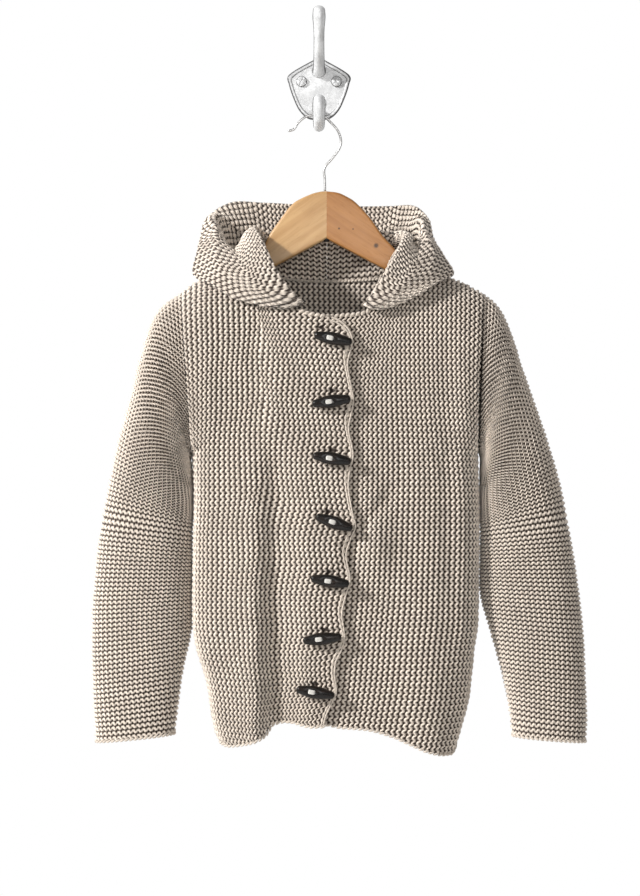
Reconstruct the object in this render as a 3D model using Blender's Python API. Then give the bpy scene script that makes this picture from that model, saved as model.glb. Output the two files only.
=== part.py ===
"""A child's hand-knitted hooded cardigan with toggles, on a wooden hanger and a cast wall hook.

The origin is the middle of the wall hook's flat back. X runs to the viewer's right, Y into the wall
and Z up. Tables are in millimetres: x from the hanger's wire, drop down from the origin, and depth
from the hanger's middle plane, with plus towards the wall. "left" and "right" are the viewer's.
"""

import math
from collections import namedtuple

import bmesh
import bpy
import numpy as np

MM = 0.001

# ------------------------------------------------------------------ driving dimensions
HANGER_X = 5.0          # the wire hangs this far right of the wall hook's middle
HANGER_PLANE = -72.0    # the hanger's middle plane, out from the wall
CLOTH = 3.0             # thickness of the garter-stitch cloth
SEAM_GAP = 0.3          # between pieces at a seam
ARMHOLE_GAP = 0.66      # between a sleeve's head and the slanting armhole
PLACKET_STEP = 5.8      # how far the top front lies over the under front

SHOULDER_ROUND = 52.0   # drop over which a shoulder rounds from its ridge to full depth
SIDE_POWER = 3.0        # squareness of the body's sides
ARMHOLE_POWER = 2.3     # squareness of the sleeve's head
ARMHOLE_DEPTH = 26.0    # half the depth of the sleeve's head
ARM_FADE_FROM, ARM_FADE_TO = 292.5, 465.0   # drops between which the armhole's fullness fades into the body
ARM_EDGE_POWER = 10     # how closely the armhole's own curve keeps to the body's edge
SLEEVE_POWER = 2.3
ELBOW = 0.533           # where a sleeve's solid is parted in two, from armhole (0) to cuff (1)
ELBOW_GAP = 0.0012      # width of that parting, in the same measure
WAIST = 0.6             # where the top front's solid is parted in two, from hem (0) to neck (1)
WAIST_GAP = 0.001       # width of that parting, in the same measure

HANGER_THICK = 12.0
WIRE_RADIUS = 1.25
TOGGLE_LENGTH = 38.0
TOGGLE_RADIUS = 6.3
TOGGLE_END_RADIUS = 3.4
TOGGLE_FLATNESS = 0.8   # its thickness as a share of its width
TOGGLE_CLEARANCE = 1.2  # between the cloth and the toggle's back
DISH_DEPTH = 1.2
DISH_LENGTH = 0.25      # half the dish's length as a share of half the toggle's

# Edges of the body, hem to shoulder: x at each drop.
Edge = namedtuple("Edge", "drop x")
LEFT_EDGE = [
    Edge(661, -104), Edge(651, -108.5), Edge(636, -112), Edge(614, -115.2), Edge(596, -118.8),
    Edge(569, -127.2), Edge(545, -130.8), Edge(510, -131.2), Edge(423, -130), Edge(372, -132),
    Edge(213, -143),
]
RIGHT_EDGE = [
    Edge(664, 132), Edge(647, 137), Edge(615, 145), Edge(572, 149.6), Edge(536, 154),
    Edge(432, 155), Edge(343, 153), Edge(213, 159),
]
UNDERARM_DROP = 372.0
SHOULDER_DROP = 213.0
PLACKET = [
    Edge(642, -1), Edge(632, 1.5), Edge(619, 7.5), Edge(607, 12.2), Edge(590, 10.4), Edge(580, 11.2),
    Edge(566, 17.4), Edge(555, 20.4), Edge(531, 17.6), Edge(514, 21.2), Edge(498, 25.6), Edge(474, 21.8),
    Edge(458, 26.2), Edge(445, 31), Edge(432, 28), Edge(404, 24), Edge(390, 25.4), Edge(376, 28.6),
    Edge(348, 24.2), Edge(336, 26.6), Edge(322, 29), Edge(308, 26.8), Edge(286, 23.2), Edge(271, 26.6),
    Edge(261, 28.4),
]
UNDERLAP = 40.0         # how far the under front runs on beneath the top one
LIFT_FROM, LIFT_FULL = -72.0, -44.0

# Hem and top lines: drop at each x.
Line = namedtuple("Line", "x drop")
HEM_LEFT_FRONT = [
    Line(-104, 661), Line(-96, 663.5), Line(-85, 662), Line(-70, 658), Line(-58, 652),
    Line(-50, 641.5), Line(-36, 638.5), Line(-12, 642.5), Line(-1, 642),
]
HEM_RIGHT_FRONT = [
    Line(-43, 639), Line(3, 641), Line(16, 643.5), Line(41, 645.5), Line(67, 652.5), Line(85, 660.5),
    Line(104, 668.5), Line(119, 671.5), Line(127, 671), Line(132, 664),
]
HEM_BACK = [Line(-104, 661), Line(-60, 642), Line(0, 634), Line(70, 637), Line(132, 664)]
SHOULDER_LEFT = [
    Line(-143, 213), Line(-139, 209), Line(-131, 203), Line(-109, 190.5), Line(-84, 177), Line(-68, 165),
]
SHOULDER_RIGHT = [
    Line(82, 169), Line(100, 181), Line(129, 197.5), Line(144, 204.5), Line(159, 213),
]
RIDGE_OVER_NECK = [Line(-40, 152), Line(8, 145), Line(56, 154)]
NECK_FRONT = [
    Line(-63, 180), Line(-56, 198), Line(-45, 216), Line(-31, 228), Line(-15, 235), Line(3, 237.5),
    Line(22, 236.5), Line(40, 234), Line(51, 223), Line(61, 207), Line(72, 187),
]
NECK_TOP_FRONT = [
    Line(-63, 180), Line(-56, 198), Line(-45, 216), Line(-31, 228), Line(-15, 235), Line(0, 237.5),
    Line(11, 240.5), Line(19, 245.5), Line(25, 252.5), Line(28.4, 261),
]
NECK_BACK = [
    Line(-64, 175), Line(-55, 190), Line(-42, 198), Line(3, 201), Line(54, 198.5), Line(68, 190),
    Line(77, 179),
]

# Half depth of the body in front of and behind the hanger's plane.
Depth = namedtuple("Depth", "drop front back")
BODY_DEPTH = [
    Depth(150, 31, 25), Depth(213, 32, 26), Depth(300, 36, 27), Depth(450, 38, 27), Depth(560, 37, 27),
    Depth(675, 35, 26),
]

# Folds: a crest (plus) or trough (minus) along a line from its top to its foot.
Fold = namedtuple("Fold", "x_top drop_top x_foot drop_foot width height_top height_foot")
FRONT_FOLDS = [
    Fold(-84, 400, -82, 680, 20, 1.0, 9.0),
    Fold(-56, 400, -53, 680, 11, -1.0, -13.0),
    Fold(-30, 420, -28, 680, 16, 0.5, 5.0),
    Fold(-118, 250, -112, 600, 10, 3.0, 2.0),
    Fold(40, 395, 52, 460, 15, 2.0, 6.0),
    Fold(74, 400, 24, 462, 9, -1.0, -5.0),
    Fold(98, 480, 112, 680, 26, 0.5, 7.0),
    Fold(138, 300, 140, 560, 9, 2.5, 2.5),
    Fold(120, 290, 124, 480, 10, -2.0, -2.5),
]
BACK_FOLDS = [
    Fold(-70, 420, -62, 680, 22, 0.5, 5.0),
    Fold(-20, 400, -28, 680, 20, -0.5, -5.0),
    Fold(30, 380, 24, 680, 24, 0.5, 5.0),
    Fold(88, 400, 84, 680, 20, -0.5, -4.5),
]

# Sleeves: rings from the armhole round to the cuff, each from its outer point to its inner point.
Ring = namedtuple("Ring", "out_x out_drop in_x in_drop half_depth back")
LEFT_SLEEVE = [
    Ring(-143, 213, -132, 372, 26, 0), Ring(-155, 221, -133, 376, 27, 0), Ring(-167, 232, -133.5, 380, 28, 1),
    Ring(-177.5, 254, -133, 385, 28, 1), Ring(-185.5, 280, -132.5, 391, 28, 2),
    Ring(-193, 311, -132, 398, 28, 3), Ring(-201, 341, -131.5, 407, 28, 4),
    Ring(-209, 372, -131.5, 418, 28, 4), Ring(-217, 410, -131.5, 435, 27, 5),
    Ring(-222.5, 439, -131.8, 453, 26, 5), Ring(-227.4, 470, -132, 476, 25, 5),
    Ring(-232, 520, -132.2, 515, 24, 5), Ring(-233, 562, -132.8, 550, 23, 4),
    Ring(-232, 603, -141, 589, 22, 3), Ring(-230.5, 636, -146, 624, 21, 2),
    Ring(-228.5, 661, -149.5, 653, 20, 1),
]
RIGHT_SLEEVE = [
    Ring(159, 213, 154.7, 372, 26, 0), Ring(172, 224, 156.2, 376, 27, 0), Ring(181, 238, 157, 380, 28, 1),
    Ring(190, 261, 157, 385, 28, 1), Ring(197, 284, 156.5, 391, 28, 2),
    Ring(208, 315, 156.5, 398, 28, 3), Ring(218, 343, 156.5, 407, 28, 4),
    Ring(228, 374, 156.5, 418, 28, 4), Ring(237, 406, 156.5, 434, 27, 5),
    Ring(244, 440, 156.5, 453, 26, 5), Ring(250, 474, 156.5, 478, 25, 5),
    Ring(256.5, 520, 157, 515, 24, 5), Ring(260.5, 562, 167.5, 554, 23, 4),
    Ring(262, 603, 178.5, 594, 22, 3), Ring(263, 636, 185, 626, 21, 2),
    Ring(262, 661, 188.5, 655, 20, 1),
]

# Hood halves: sections from the middle of the back (a = 0) round to the front of the neck (a = 1).
Section = namedtuple(
    "Section",
    "a seam_x roll_x roll_drop roll_depth pocket_x pocket_drop pocket_depth"
    " crest_x crest_drop crest_depth rim_x rim_drop rim_depth",
)
LEFT_HOOD = [
    Section(0.00, 3, 3, 147, 26, 3, 322, 47, 3, 160, 54, 3, 119, 58),
    Section(0.15, -18, -20, 148, 25, -22, 316, 47, -25, 158, 53, -26, 118.5, 57),
    Section(0.30, -40, -43, 150, 20, -50, 286, 45, -57, 151, 50, -61, 117, 55),
    Section(0.42, -56, -58, 152, 12, -75, 230, 40, -87, 139, 41, -95, 117.5, 48),
    Section(0.52, -65, -66, 149, 2, -88, 182, 25, -111, 132, 29, -119, 135, 33),
    Section(0.61, -68, -69, 150, -10, -92, 172, 2, -109, 148, 3, -124, 156, 9),
    Section(0.70, -63, -62, 162, -26, -86, 176, -20, -107, 165, -14, -127, 174, -5),
    Section(0.78, -57, -54, 180, -38, -80, 190, -36, -106, 184, -28, -130, 196, -14),
    Section(0.86, -48, -45, 197, -42, -69, 205, -43, -91, 203, -38, -110, 208, -31),
    Section(0.94, -35, -31, 215, -43, -48, 218, -44, -66, 220, -42, -83, 223, -39),
    Section(1.00, -23, -18, 226, -41, -25, 229, -42, -34, 231, -41.6, -43, 231, -41.2),
]
RIGHT_HOOD = [
    Section(0.00, 3, 3, 147, 26, 3, 322, 47, 3, 160, 54, 3, 119, 58),
    Section(0.15, 24, 26, 148, 25, 28, 316, 47, 31, 158, 53, 32, 120.5, 57),
    Section(0.30, 46, 49, 150, 20, 56, 286, 45, 63, 152, 50, 67, 120.5, 55),
    Section(0.42, 63, 68, 152, 12, 80, 230, 40, 86, 143, 41, 92, 121, 48),
    Section(0.52, 79, 78, 152, 2, 89, 180, 25, 98, 134, 28, 106, 136, 32),
    Section(0.61, 82, 81, 156, -10, 92, 168, 0, 101, 153, 2, 110, 158, 8),
    Section(0.70, 74, 76, 168, -27, 92, 178, -23, 107, 168, -14, 119, 176, -6),
    Section(0.78, 68, 68, 184, -38, 86, 193, -36, 107, 188, -28, 129, 195, -15),
    Section(0.86, 60, 59, 200, -42, 76, 209, -43, 94, 208, -38, 112, 205, -32),
    Section(0.94, 50, 47, 218, -43, 60, 222, -44, 75, 222, -42, 90, 219, -39),
    Section(1.00, 42, 39, 228, -41, 45, 231, -42, 53, 232, -41, 61, 231, -39),
]
FOLD_RADIUS = {"roll": 5.0, "pocket": 7.0, "crest": 6.0}
NECK_CLEARANCE = 2.0    # the hood's seam above the panels' neck edges
NECK_SIDE = 0.6         # where the neck seam passes from the back panel to a front
STAND_SHARE = 0.3       # how much of the way up to the roll the hood stands straight

# Toggles, top to bottom: middle, and tilt with plus where the right end is lower.
Toggle = namedtuple("Toggle", "x drop tilt")
TOGGLES = [
    Toggle(8.9, 260.6, 11.5), Toggle(7.3, 322.2, -8.5), Toggle(7.7, 378.3, 9.5), Toggle(10, 441, 18.6),
    Toggle(5.8, 498.5, 8.4), Toggle(-1.8, 555, -6), Toggle(-8.6, 607.6, 9.8),
]

# Hanger: outline of each half from the mitre to the tip, and back along the under edge.
MITRE_X = 2.6
MITRE_GAP = 0.15
HANGER_LEFT = [
    Line(2.6, 111.5), Line(-4, 112), Line(-14.5, 115), Line(-30, 123), Line(-41, 136), Line(-55, 156),
    Line(-61, 168), Line(-71, 180.5), Line(-84, 189), Line(-124, 209), Line(-133, 215), Line(-137, 221),
    Line(-134, 227), Line(-126, 228), Line(2.6, 159),
]
HANGER_RIGHT = [
    Line(2.6, 111.5), Line(14, 113), Line(23, 117), Line(32, 123), Line(46, 138), Line(58.5, 155.5),
    Line(69, 167), Line(76, 175), Line(88, 184), Line(132, 207), Line(142, 213), Line(146, 220),
    Line(143, 227), Line(135, 229), Line(2.6, 159),
]
WIRE_ROUTE = [
    Line(1, 110.9), Line(0.8, 100), Line(0.6, 88), Line(8.5, 78), Line(15, 69), Line(17, 61), Line(14, 51),
    Line(7, 42.5), Line(1, 37), Line(-5, 34.6), Line(-12, 35), Line(-19, 37), Line(-26, 43), Line(-30, 49),
    Line(-36, 51),
]

# Wall hook: plate outline, and its two prongs in side view, out from the wall.
PLATE_THICK = 4.0
PLATE_HALF = [Line(0, -33), Line(10, -29), Line(31, -16), Line(31, -6), Line(26, 9), Line(20, 21), Line(11, 29),
              Line(0, 30)]
Prong = namedtuple("Prong", "out drop radius")
LOWER_PRONG = [
    Prong(4.3, 24.3, 4.6), Prong(8, 24.4, 4.8), Prong(32, 34, 5.6), Prong(52, 42, 5.6), Prong(68, 45.5, 5.6),
    Prong(79, 45, 5.8), Prong(88, 38, 6.2), Prong(91, 28, 6.6), Prong(91, 22, 6.0),
]
UPPER_PRONG = [
    Prong(4.3, -20, 7.2), Prong(9, -20.6, 6.6), Prong(20, -27, 5.8), Prong(34, -42, 5.4), Prong(43, -56, 5.6),
    Prong(47, -67, 6.6), Prong(47.5, -74, 6.2),
]
Screw = namedtuple("Screw", "x drop")
SCREWS = [Screw(-18, -9), Screw(18, -9), Screw(0, 12)]
SCREW_RADIUS = 5.5

# ------------------------------------------------------------------ resolution
BODY_ROWS = 18
HALF_FRONT_ROWS = 12     # along each half of the top front
FRONT_COLUMNS = 20
BACK_COLUMNS = 24
SLEEVE_SIDES = 20
SLEEVE_STEPS = 10        # along each half of a sleeve
HOOD_STEPS = 16
HANGER_STEPS = 3
HOOD_ACROSS = 22
ROW_CROWDING = 0.55     # share of the steps' spacing that crowds towards an edge
SIDE_CROWDING = 0.6
NEAR_RIDGE = 0.003      # metres from the hanger's plane within which a wall counts as on its ridge
LEAST_IN_PLANE = 0.35   # a normal with less than this in a seam's plane is left as it is


# ------------------------------------------------------------------ curves
def smooth(keys, values, at):
    """Values of a smooth curve through a table, without overshoot."""
    order = np.argsort(keys)
    x = np.asarray(keys, float)[order]
    y = np.asarray(values, float)[order]
    step = np.diff(x)
    rise = np.diff(y) / step
    slope = np.empty_like(y)
    slope[0], slope[-1] = rise[0], rise[-1]
    flat = rise[:-1] * rise[1:] <= 0
    mean = 2 * rise[:-1] * rise[1:] / np.where(flat, 1, rise[:-1] + rise[1:])
    slope[1:-1] = np.where(flat, 0, mean)
    at = np.clip(np.asarray(at, float), x[0], x[-1])
    i = np.clip(np.searchsorted(x, at) - 1, 0, len(x) - 2)
    t = (at - x[i]) / step[i]
    return (
        y[i] * (1 + 2 * t) * (1 - t) ** 2 + y[i + 1] * t * t * (3 - 2 * t)
        + step[i] * (slope[i] * t * (1 - t) ** 2 - slope[i + 1] * t * t * (1 - t))
    )


def through(points, at):
    """Points of a Catmull-Rom curve through the given ones, for at from 0 to their last number."""
    points = np.asarray(points, float)
    ends = [2 * points[0] - points[1]], [2 * points[-1] - points[-2]]
    padded = np.concatenate([ends[0], points, ends[1]])
    at = np.clip(np.asarray(at, float), 0, len(points) - 1)
    i = np.minimum(at.astype(int), len(points) - 2)
    t = (at - i).reshape(at.shape + (1,) * (points.ndim - 1))
    a, b, c, d = padded[i], padded[i + 1], padded[i + 2], padded[i + 3]
    return 0.5 * (2 * b + (c - a) * t + (2 * a - 5 * b + 4 * c - d) * t ** 2 + (3 * b - a - 3 * c + d) * t ** 3)


def along_section(points, at):
    """Points of a curve through the given ones that allows for their uneven spacing."""
    points = np.asarray(points, float)
    span = np.maximum(np.linalg.norm(np.diff(points, axis=0), axis=1), 1e-6)[:, None]
    rate = np.diff(points, axis=0) / span
    slope = np.empty_like(points)
    slope[0], slope[-1] = rate[0], rate[-1]
    slope[1:-1] = (rate[1:] * span[:-1] + rate[:-1] * span[1:]) / (span[:-1] + span[1:])
    at = np.clip(np.asarray(at, float), 0, len(points) - 1)
    i = np.minimum(at.astype(int), len(points) - 2)
    t = (at - i)[:, None]
    return (
        points[i] * (1 + 2 * t) * (1 - t) ** 2 + points[i + 1] * t * t * (3 - 2 * t)
        + span[i] * (slope[i] * t * (1 - t) ** 2 - slope[i + 1] * t * t * (1 - t))
    )


def column(table, name):
    return [getattr(row, name) for row in table]


def line_at(table, x):
    return smooth(column(table, "x"), column(table, "drop"), x)


def edge_at(table, drop):
    return smooth(column(table, "drop"), column(table, "x"), drop)


def place(x, drop, depth):
    """Metres in the part's frame from the tables' millimetres."""
    return np.stack([x + HANGER_X, HANGER_PLANE + depth, -drop], axis=-1) * MM


# ------------------------------------------------------------------ body
TOP_FRONT = SHOULDER_LEFT + NECK_FRONT + SHOULDER_RIGHT
TOP_OF_UPPER = SHOULDER_LEFT + NECK_TOP_FRONT
TOP_BACK = SHOULDER_LEFT + NECK_BACK + SHOULDER_RIGHT
RIDGE = SHOULDER_LEFT + RIDGE_OVER_NECK + SHOULDER_RIGHT


def edge_drop(edge, v):
    """Drop along a body edge, from its foot (v = 0) to its top (v = 1)."""
    return edge[0].drop + v * (edge[-1].drop - edge[0].drop)


def armhole_half_depth(drop, underarm):
    middle, half = (SHOULDER_DROP + underarm) / 2, (underarm - SHOULDER_DROP) / 2
    along = np.clip(np.abs(drop - middle) / half, 0, 1)
    return ARMHOLE_DEPTH * (1 - along ** ARMHOLE_POWER) ** (1 / ARMHOLE_POWER)


def fading_arm(arm, drop):
    """The armhole's half depth as it reaches into the body, where it fades below its middle without a crease."""
    fade = np.clip((drop - ARM_FADE_FROM) / (ARM_FADE_TO - ARM_FADE_FROM), 0, 1)
    return np.where(drop < ARM_FADE_FROM, arm, ARMHOLE_DEPTH * (1 - fade * fade * (3 - 2 * fade)))


def fold_height(folds, x, drop):
    total = np.zeros_like(x, dtype=float)
    for fold in folds:
        length = fold.drop_foot - fold.drop_top
        along = np.clip((drop - fold.drop_top) / length, 0, 1)
        run_in = np.clip((drop - fold.drop_top) / 60 + 1, 0, 1)
        run_out = np.clip((fold.drop_foot - drop) / 50 + 1, 0, 1)
        middle = fold.x_top + along * (fold.x_foot - fold.x_top)
        height = fold.height_top + along * (fold.height_foot - fold.height_top)
        soft = run_in ** 2 * (3 - 2 * run_in) * run_out ** 2 * (3 - 2 * run_out)
        total += height * soft * np.exp(-((x - middle) / fold.width) ** 2)
    return total


def body_depth(x, drop, v, front):
    """Depth of the body's outer surface from the hanger's plane, without its sign."""
    left = edge_at(LEFT_EDGE, edge_drop(LEFT_EDGE, v))
    right = edge_at(RIGHT_EDGE, edge_drop(RIGHT_EDGE, v))
    across = np.clip(np.abs((2 * x - left - right) / (right - left)), 0, 1)
    side = (1 - across ** SIDE_POWER) ** (1 / SIDE_POWER)
    full = smooth(column(BODY_DEPTH, "drop"), column(BODY_DEPTH, "front" if front else "back"), drop)
    near_top = np.clip((drop - line_at(RIDGE, x)) / SHOULDER_ROUND, 0, 1)
    inside = full * np.sqrt(1 - (1 - near_top) ** 2)
    arm_drop = np.where(2 * x < left + right, edge_drop(LEFT_EDGE, v), edge_drop(RIGHT_EDGE, v))
    arm = armhole_half_depth(arm_drop, UNDERARM_DROP)
    soft = fading_arm(arm, arm_drop)
    arm = soft + (arm - soft) * across ** ARM_EDGE_POWER
    folds = fold_height(FRONT_FOLDS if front else BACK_FOLDS, x, drop)
    return arm + (inside - arm) * side + folds * side ** 2 * np.clip(near_top * 1.5, 0, 1)


def panel(left_edge, right_edge, hem, top, t, v, front, lift=0.0):
    """Outer points of a body panel, t from its left edge to its right one and v from hem to top."""
    x = left_edge(v) * (1 - t) + right_edge(v) * t
    low = line_at(hem, left_edge(0 * v) * (1 - t) + right_edge(0 * v) * t)
    high = line_at(top, left_edge(0 * v + 1) * (1 - t) + right_edge(0 * v + 1) * t)
    drop = low + v * (high - low)
    depth = body_depth(x, drop, v, front) + lift_at(lift, x)
    return place(x, drop, -depth if front else depth)


def lift_at(lift, x):
    """The top front rises over the under one as it nears the placket."""
    near = np.clip((x - LIFT_FROM) / (LIFT_FULL - LIFT_FROM), 0, 1)
    return lift * near ** 2 * (3 - 2 * near)


def left_side(v):
    return edge_at(LEFT_EDGE, edge_drop(LEFT_EDGE, v))


def right_side(v):
    return edge_at(RIGHT_EDGE, edge_drop(RIGHT_EDGE, v))


def placket_side(v):
    return edge_at(PLACKET, edge_drop(PLACKET, v))


def underlap_side(v):
    return placket_side(v) * 0 + smooth([0, 1], [0.5 - UNDERLAP, 30 - UNDERLAP], v)


def top_front_points(t, v):
    return panel(left_side, placket_side, HEM_LEFT_FRONT, TOP_OF_UPPER, t, v, True, PLACKET_STEP)


def under_front_points(t, v):
    return panel(underlap_side, right_side, HEM_RIGHT_FRONT, TOP_FRONT, t, v, True)


def back_points(t, v):
    return panel(left_side, right_side, HEM_BACK, TOP_BACK, t, v, False)


# ------------------------------------------------------------------ meshes
def grid_normals(points, wrap):
    """Unit normals of a grid of points, along v first and then across t."""
    if wrap:
        across = np.roll(points, -1, axis=1) - np.roll(points, 1, axis=1)
    else:
        across = np.gradient(points, axis=1)
    normal = np.cross(across, np.gradient(points, axis=0))
    length = np.linalg.norm(normal, axis=-1, keepdims=True)
    return normal / np.maximum(length, 1e-12)


def keep_in_plane(normals, plane):
    """Takes out of these normals their share across a seam's plane."""
    plane = np.asarray(plane, float) / np.linalg.norm(plane)
    flat = normals - (normals @ plane)[..., None] * plane
    length = np.linalg.norm(flat, axis=-1, keepdims=True)
    return np.where(length > LEAST_IN_PLANE, flat / np.maximum(length, 1e-9), normals)


def wall(name, outer, inner, wrap, material):
    """A closed wall between two grids of points that match, open at the ends of each."""
    rows, columns = outer.shape[:2]
    points = np.concatenate([outer.reshape(-1, 3), inner.reshape(-1, 3)])
    far = rows * columns
    faces = []
    for i in range(rows - 1):
        for j in range(columns if wrap else columns - 1):
            k = (j + 1) % columns
            a, b, c, d = i * columns + j, i * columns + k, (i + 1) * columns + k, (i + 1) * columns + j
            faces.append((a, b, c, d))
            faces.append((far + d, far + c, far + b, far + a))
    rims = [(0, 1), (rows - 1, -1)]
    for i, way in rims:
        for j in range(columns if wrap else columns - 1):
            a, b = i * columns + j, i * columns + (j + 1) % columns
            rim = (a, far + a, far + b, b)
            faces.append(rim if way > 0 else rim[::-1])
    if not wrap:
        for j, way in ((0, -1), (columns - 1, 1)):
            for i in range(rows - 1):
                a, b = i * columns + j, (i + 1) * columns + j
                rim = (a, far + a, far + b, b)
                faces.append(rim if way > 0 else rim[::-1])
    mesh = bpy.data.meshes.new(name)
    mesh.from_pydata([tuple(p) for p in points], [], faces)
    return finish_mesh(name, mesh, material)


def finish_mesh(name, mesh, material, sharp=50):
    work = bmesh.new()
    work.from_mesh(mesh)
    bmesh.ops.recalc_face_normals(work, faces=work.faces)
    if work.calc_volume(signed=True) < 0:
        bmesh.ops.reverse_faces(work, faces=work.faces)
    work.to_mesh(mesh)
    work.free()
    mesh.shade_smooth()
    mesh.set_sharp_from_angle(angle=math.radians(sharp))
    mesh.materials.append(material)
    obj = bpy.data.objects.new(name, mesh)
    bpy.context.scene.collection.objects.link(obj)
    return obj


def make_material(name, colour, roughness, metallic=0.0):
    material = bpy.data.materials.new(name)
    material.use_nodes = True
    shader = material.node_tree.nodes["Principled BSDF"]
    shader.inputs["Base Color"].default_value = (*colour, 1)
    shader.inputs["Roughness"].default_value = roughness
    shader.inputs["Metallic"].default_value = metallic
    return material


def eased(count):
    """Steps from 0 to 1 that crowd towards 0."""
    return 1 - np.cos(np.linspace(0, math.pi / 2, count))


def crowd_at_left(count):
    return ROW_CROWDING * eased(count) + (1 - ROW_CROWDING) * np.linspace(0, 1, count)


def rows_of_body():
    """Steps from hem to shoulder that crowd near the shoulder, where the cloth rounds over."""
    return 1 - crowd_at_left(BODY_ROWS + 1)[::-1]


def panel_wall(name, points_at, columns, sides, material, front, rows=None):
    """A body panel's wall. sides says what its left and right edges are: seam, or free."""
    rows = rows_of_body() if rows is None else rows
    v, t = np.meshgrid(rows, columns, indexing="ij")
    outer = points_at(t, v)
    normals = grid_normals(outer, False)
    if normals[len(rows) // 2, len(columns) // 2, 1] * (-1 if front else 1) < 0:
        normals = -normals
    middle = HANGER_PLANE * MM
    on_ridge = np.abs(outer[-1, :, 1] - middle) < NEAR_RIDGE
    normals[-1, on_ridge] = keep_in_plane(normals[-1, on_ridge], (0, 1, 0))
    for key, j, way in (("left", 0, 1), ("right", -1, -1)):
        if sides[key] != "seam":
            continue
        edge = LEFT_EDGE if key == "left" else RIGHT_EDGE
        arm_top, arm_foot = edge[-1], edge_at(edge, UNDERARM_DROP)
        along = np.array([arm_foot - arm_top.x, 0, arm_top.drop - UNDERARM_DROP])
        plane = np.cross(along, (0, 1, 0))
        in_arm = np.abs(outer[:, j, 1] - middle) > NEAR_RIDGE
        normals[in_arm, j] = keep_in_plane(normals[in_arm, j], plane)
        normals[~in_arm, j] = keep_in_plane(normals[~in_arm, j], (0, 1, 0))
    inner = outer - normals * CLOTH * MM
    shift = np.array([0, -1 if front else 1, 0]) * SEAM_GAP / 2 * MM
    return wall(name, outer + shift, inner + shift, False, material)


def make_body(cotton):
    left_steps = crowd_at_left(FRONT_COLUMNS + 1)
    right_steps = 1 - left_steps[::-1]
    both = np.linspace(-1, 1, BACK_COLUMNS + 1)
    back_steps = 0.5 + 0.5 * (SIDE_CROWDING * np.sin(both * math.pi / 2) + (1 - SIDE_CROWDING) * both)
    top_sides = {"left": "seam", "right": "free"}
    skirt = np.linspace(0, WAIST - WAIST_GAP / 2, HALF_FRONT_ROWS + 1)
    yoke = 1 - (1 - WAIST - WAIST_GAP / 2) * crowd_at_left(HALF_FRONT_ROWS + 1)[::-1]
    panel_wall("front_right_lower", top_front_points, left_steps, top_sides, cotton, True, skirt)
    panel_wall("front_right_upper", top_front_points, left_steps, top_sides, cotton, True, yoke)
    panel_wall("front_left", under_front_points, right_steps, {"left": "free", "right": "seam"},
               cotton, True)
    panel_wall("back", back_points, back_steps, {"left": "seam", "right": "seam"}, cotton, False)


# ------------------------------------------------------------------ sleeves
def sleeve_points(rings, u, angle):
    """Points of a sleeve, u from armhole (0) to cuff (1) and angle round it."""
    table = np.array([tuple(ring) for ring in rings])
    row = through(table, u * (len(rings) - 1))
    out_x, out_drop, in_x, in_drop, half_depth, back = np.moveaxis(row, -1, 0)
    side, front = np.cos(angle), np.sin(angle)
    power = 2 / SLEEVE_POWER
    side = np.sign(side) * np.abs(side) ** power
    front = np.sign(front) * np.abs(front) ** power
    x = (out_x + in_x) / 2 + (out_x - in_x) / 2 * side
    drop = (out_drop + in_drop) / 2 + (out_drop - in_drop) / 2 * side
    return place(x, drop, back - half_depth * front)


def make_sleeve(name, rings, cotton, way):
    """A sleeve's tube, parted at the elbow into two stretches."""
    make_tube(name + "_upper", rings, cotton, way, 0, ELBOW - ELBOW_GAP / 2)
    make_tube(name + "_lower", rings, cotton, way, ELBOW + ELBOW_GAP / 2, 1)


def make_tube(name, rings, cotton, way, first, last):
    """A stretch of a sleeve. The sleeve's head stands clear of the body's armhole."""
    steps = np.linspace(first, last, SLEEVE_STEPS + 1)
    angles = np.linspace(0, 2 * math.pi, SLEEVE_SIDES, endpoint=False)
    u, angle = np.meshgrid(steps, angles, indexing="ij")
    outer = sleeve_points(rings, u, angle)
    normals = grid_normals(outer, True)
    middle = outer.mean(axis=1, keepdims=True)
    if ((outer - middle) * normals).sum() < 0:
        normals = -normals
    for i in (0, -1):
        plane = np.cross(outer[i, 0] - outer[i, SLEEVE_SIDES // 2], (0, 1, 0))
        normals[i] = keep_in_plane(normals[i], plane)
    clear = np.array([way * ARMHOLE_GAP * MM, 0, 0])
    outer = outer + clear
    return wall(name, outer, outer - normals * CLOTH * MM, True, cotton)


# ------------------------------------------------------------------ hood
def neck_point(x, front):
    """The middle of a body panel's wall at its neck edge, and the way out of the panel there."""
    table = TOP_FRONT if front else TOP_BACK
    drop = line_at(table, np.array([x]))
    full = smooth(column(BODY_DEPTH, "drop"), column(BODY_DEPTH, "front" if front else "back"), drop)
    near_top = np.clip((drop - line_at(RIDGE, np.array([x]))) / SHOULDER_ROUND, 0, 1)
    depth = full * np.sqrt(1 - (1 - near_top) ** 2) - CLOTH / 2
    slope = (line_at(table, np.array([x + 1])) - line_at(table, np.array([x - 1])))[0] / 2
    middle = np.array([x, drop[0], max(depth[0], 0) * (-1 if front else 1)])
    return middle, unit(np.array([slope, -1.0, 0.0]))


def unit(vector):
    return vector / max(np.linalg.norm(vector), 1e-6)


def fold_round(before, tip, after, outward, radius):
    """Three points that carry a section round a fold at its tip, or along it where it runs on."""
    radius = min(radius, 0.4 * np.linalg.norm(tip - before), 0.4 * np.linalg.norm(tip - after))
    back, on = unit(before - tip), unit(after - tip)
    up = unit(tip - (before + after) / 2)
    over = unit(outward - np.dot(outward, up) * up)
    open_share = np.clip((np.linalg.norm(on - back) / 2 - 0.45) / 0.4, 0, 1)
    first = (1 - open_share) * -(up + over) + open_share * back
    last = (1 - open_share) * (over - up) + open_share * on
    return [tip + radius * first, tip, tip + radius * last]


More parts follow.
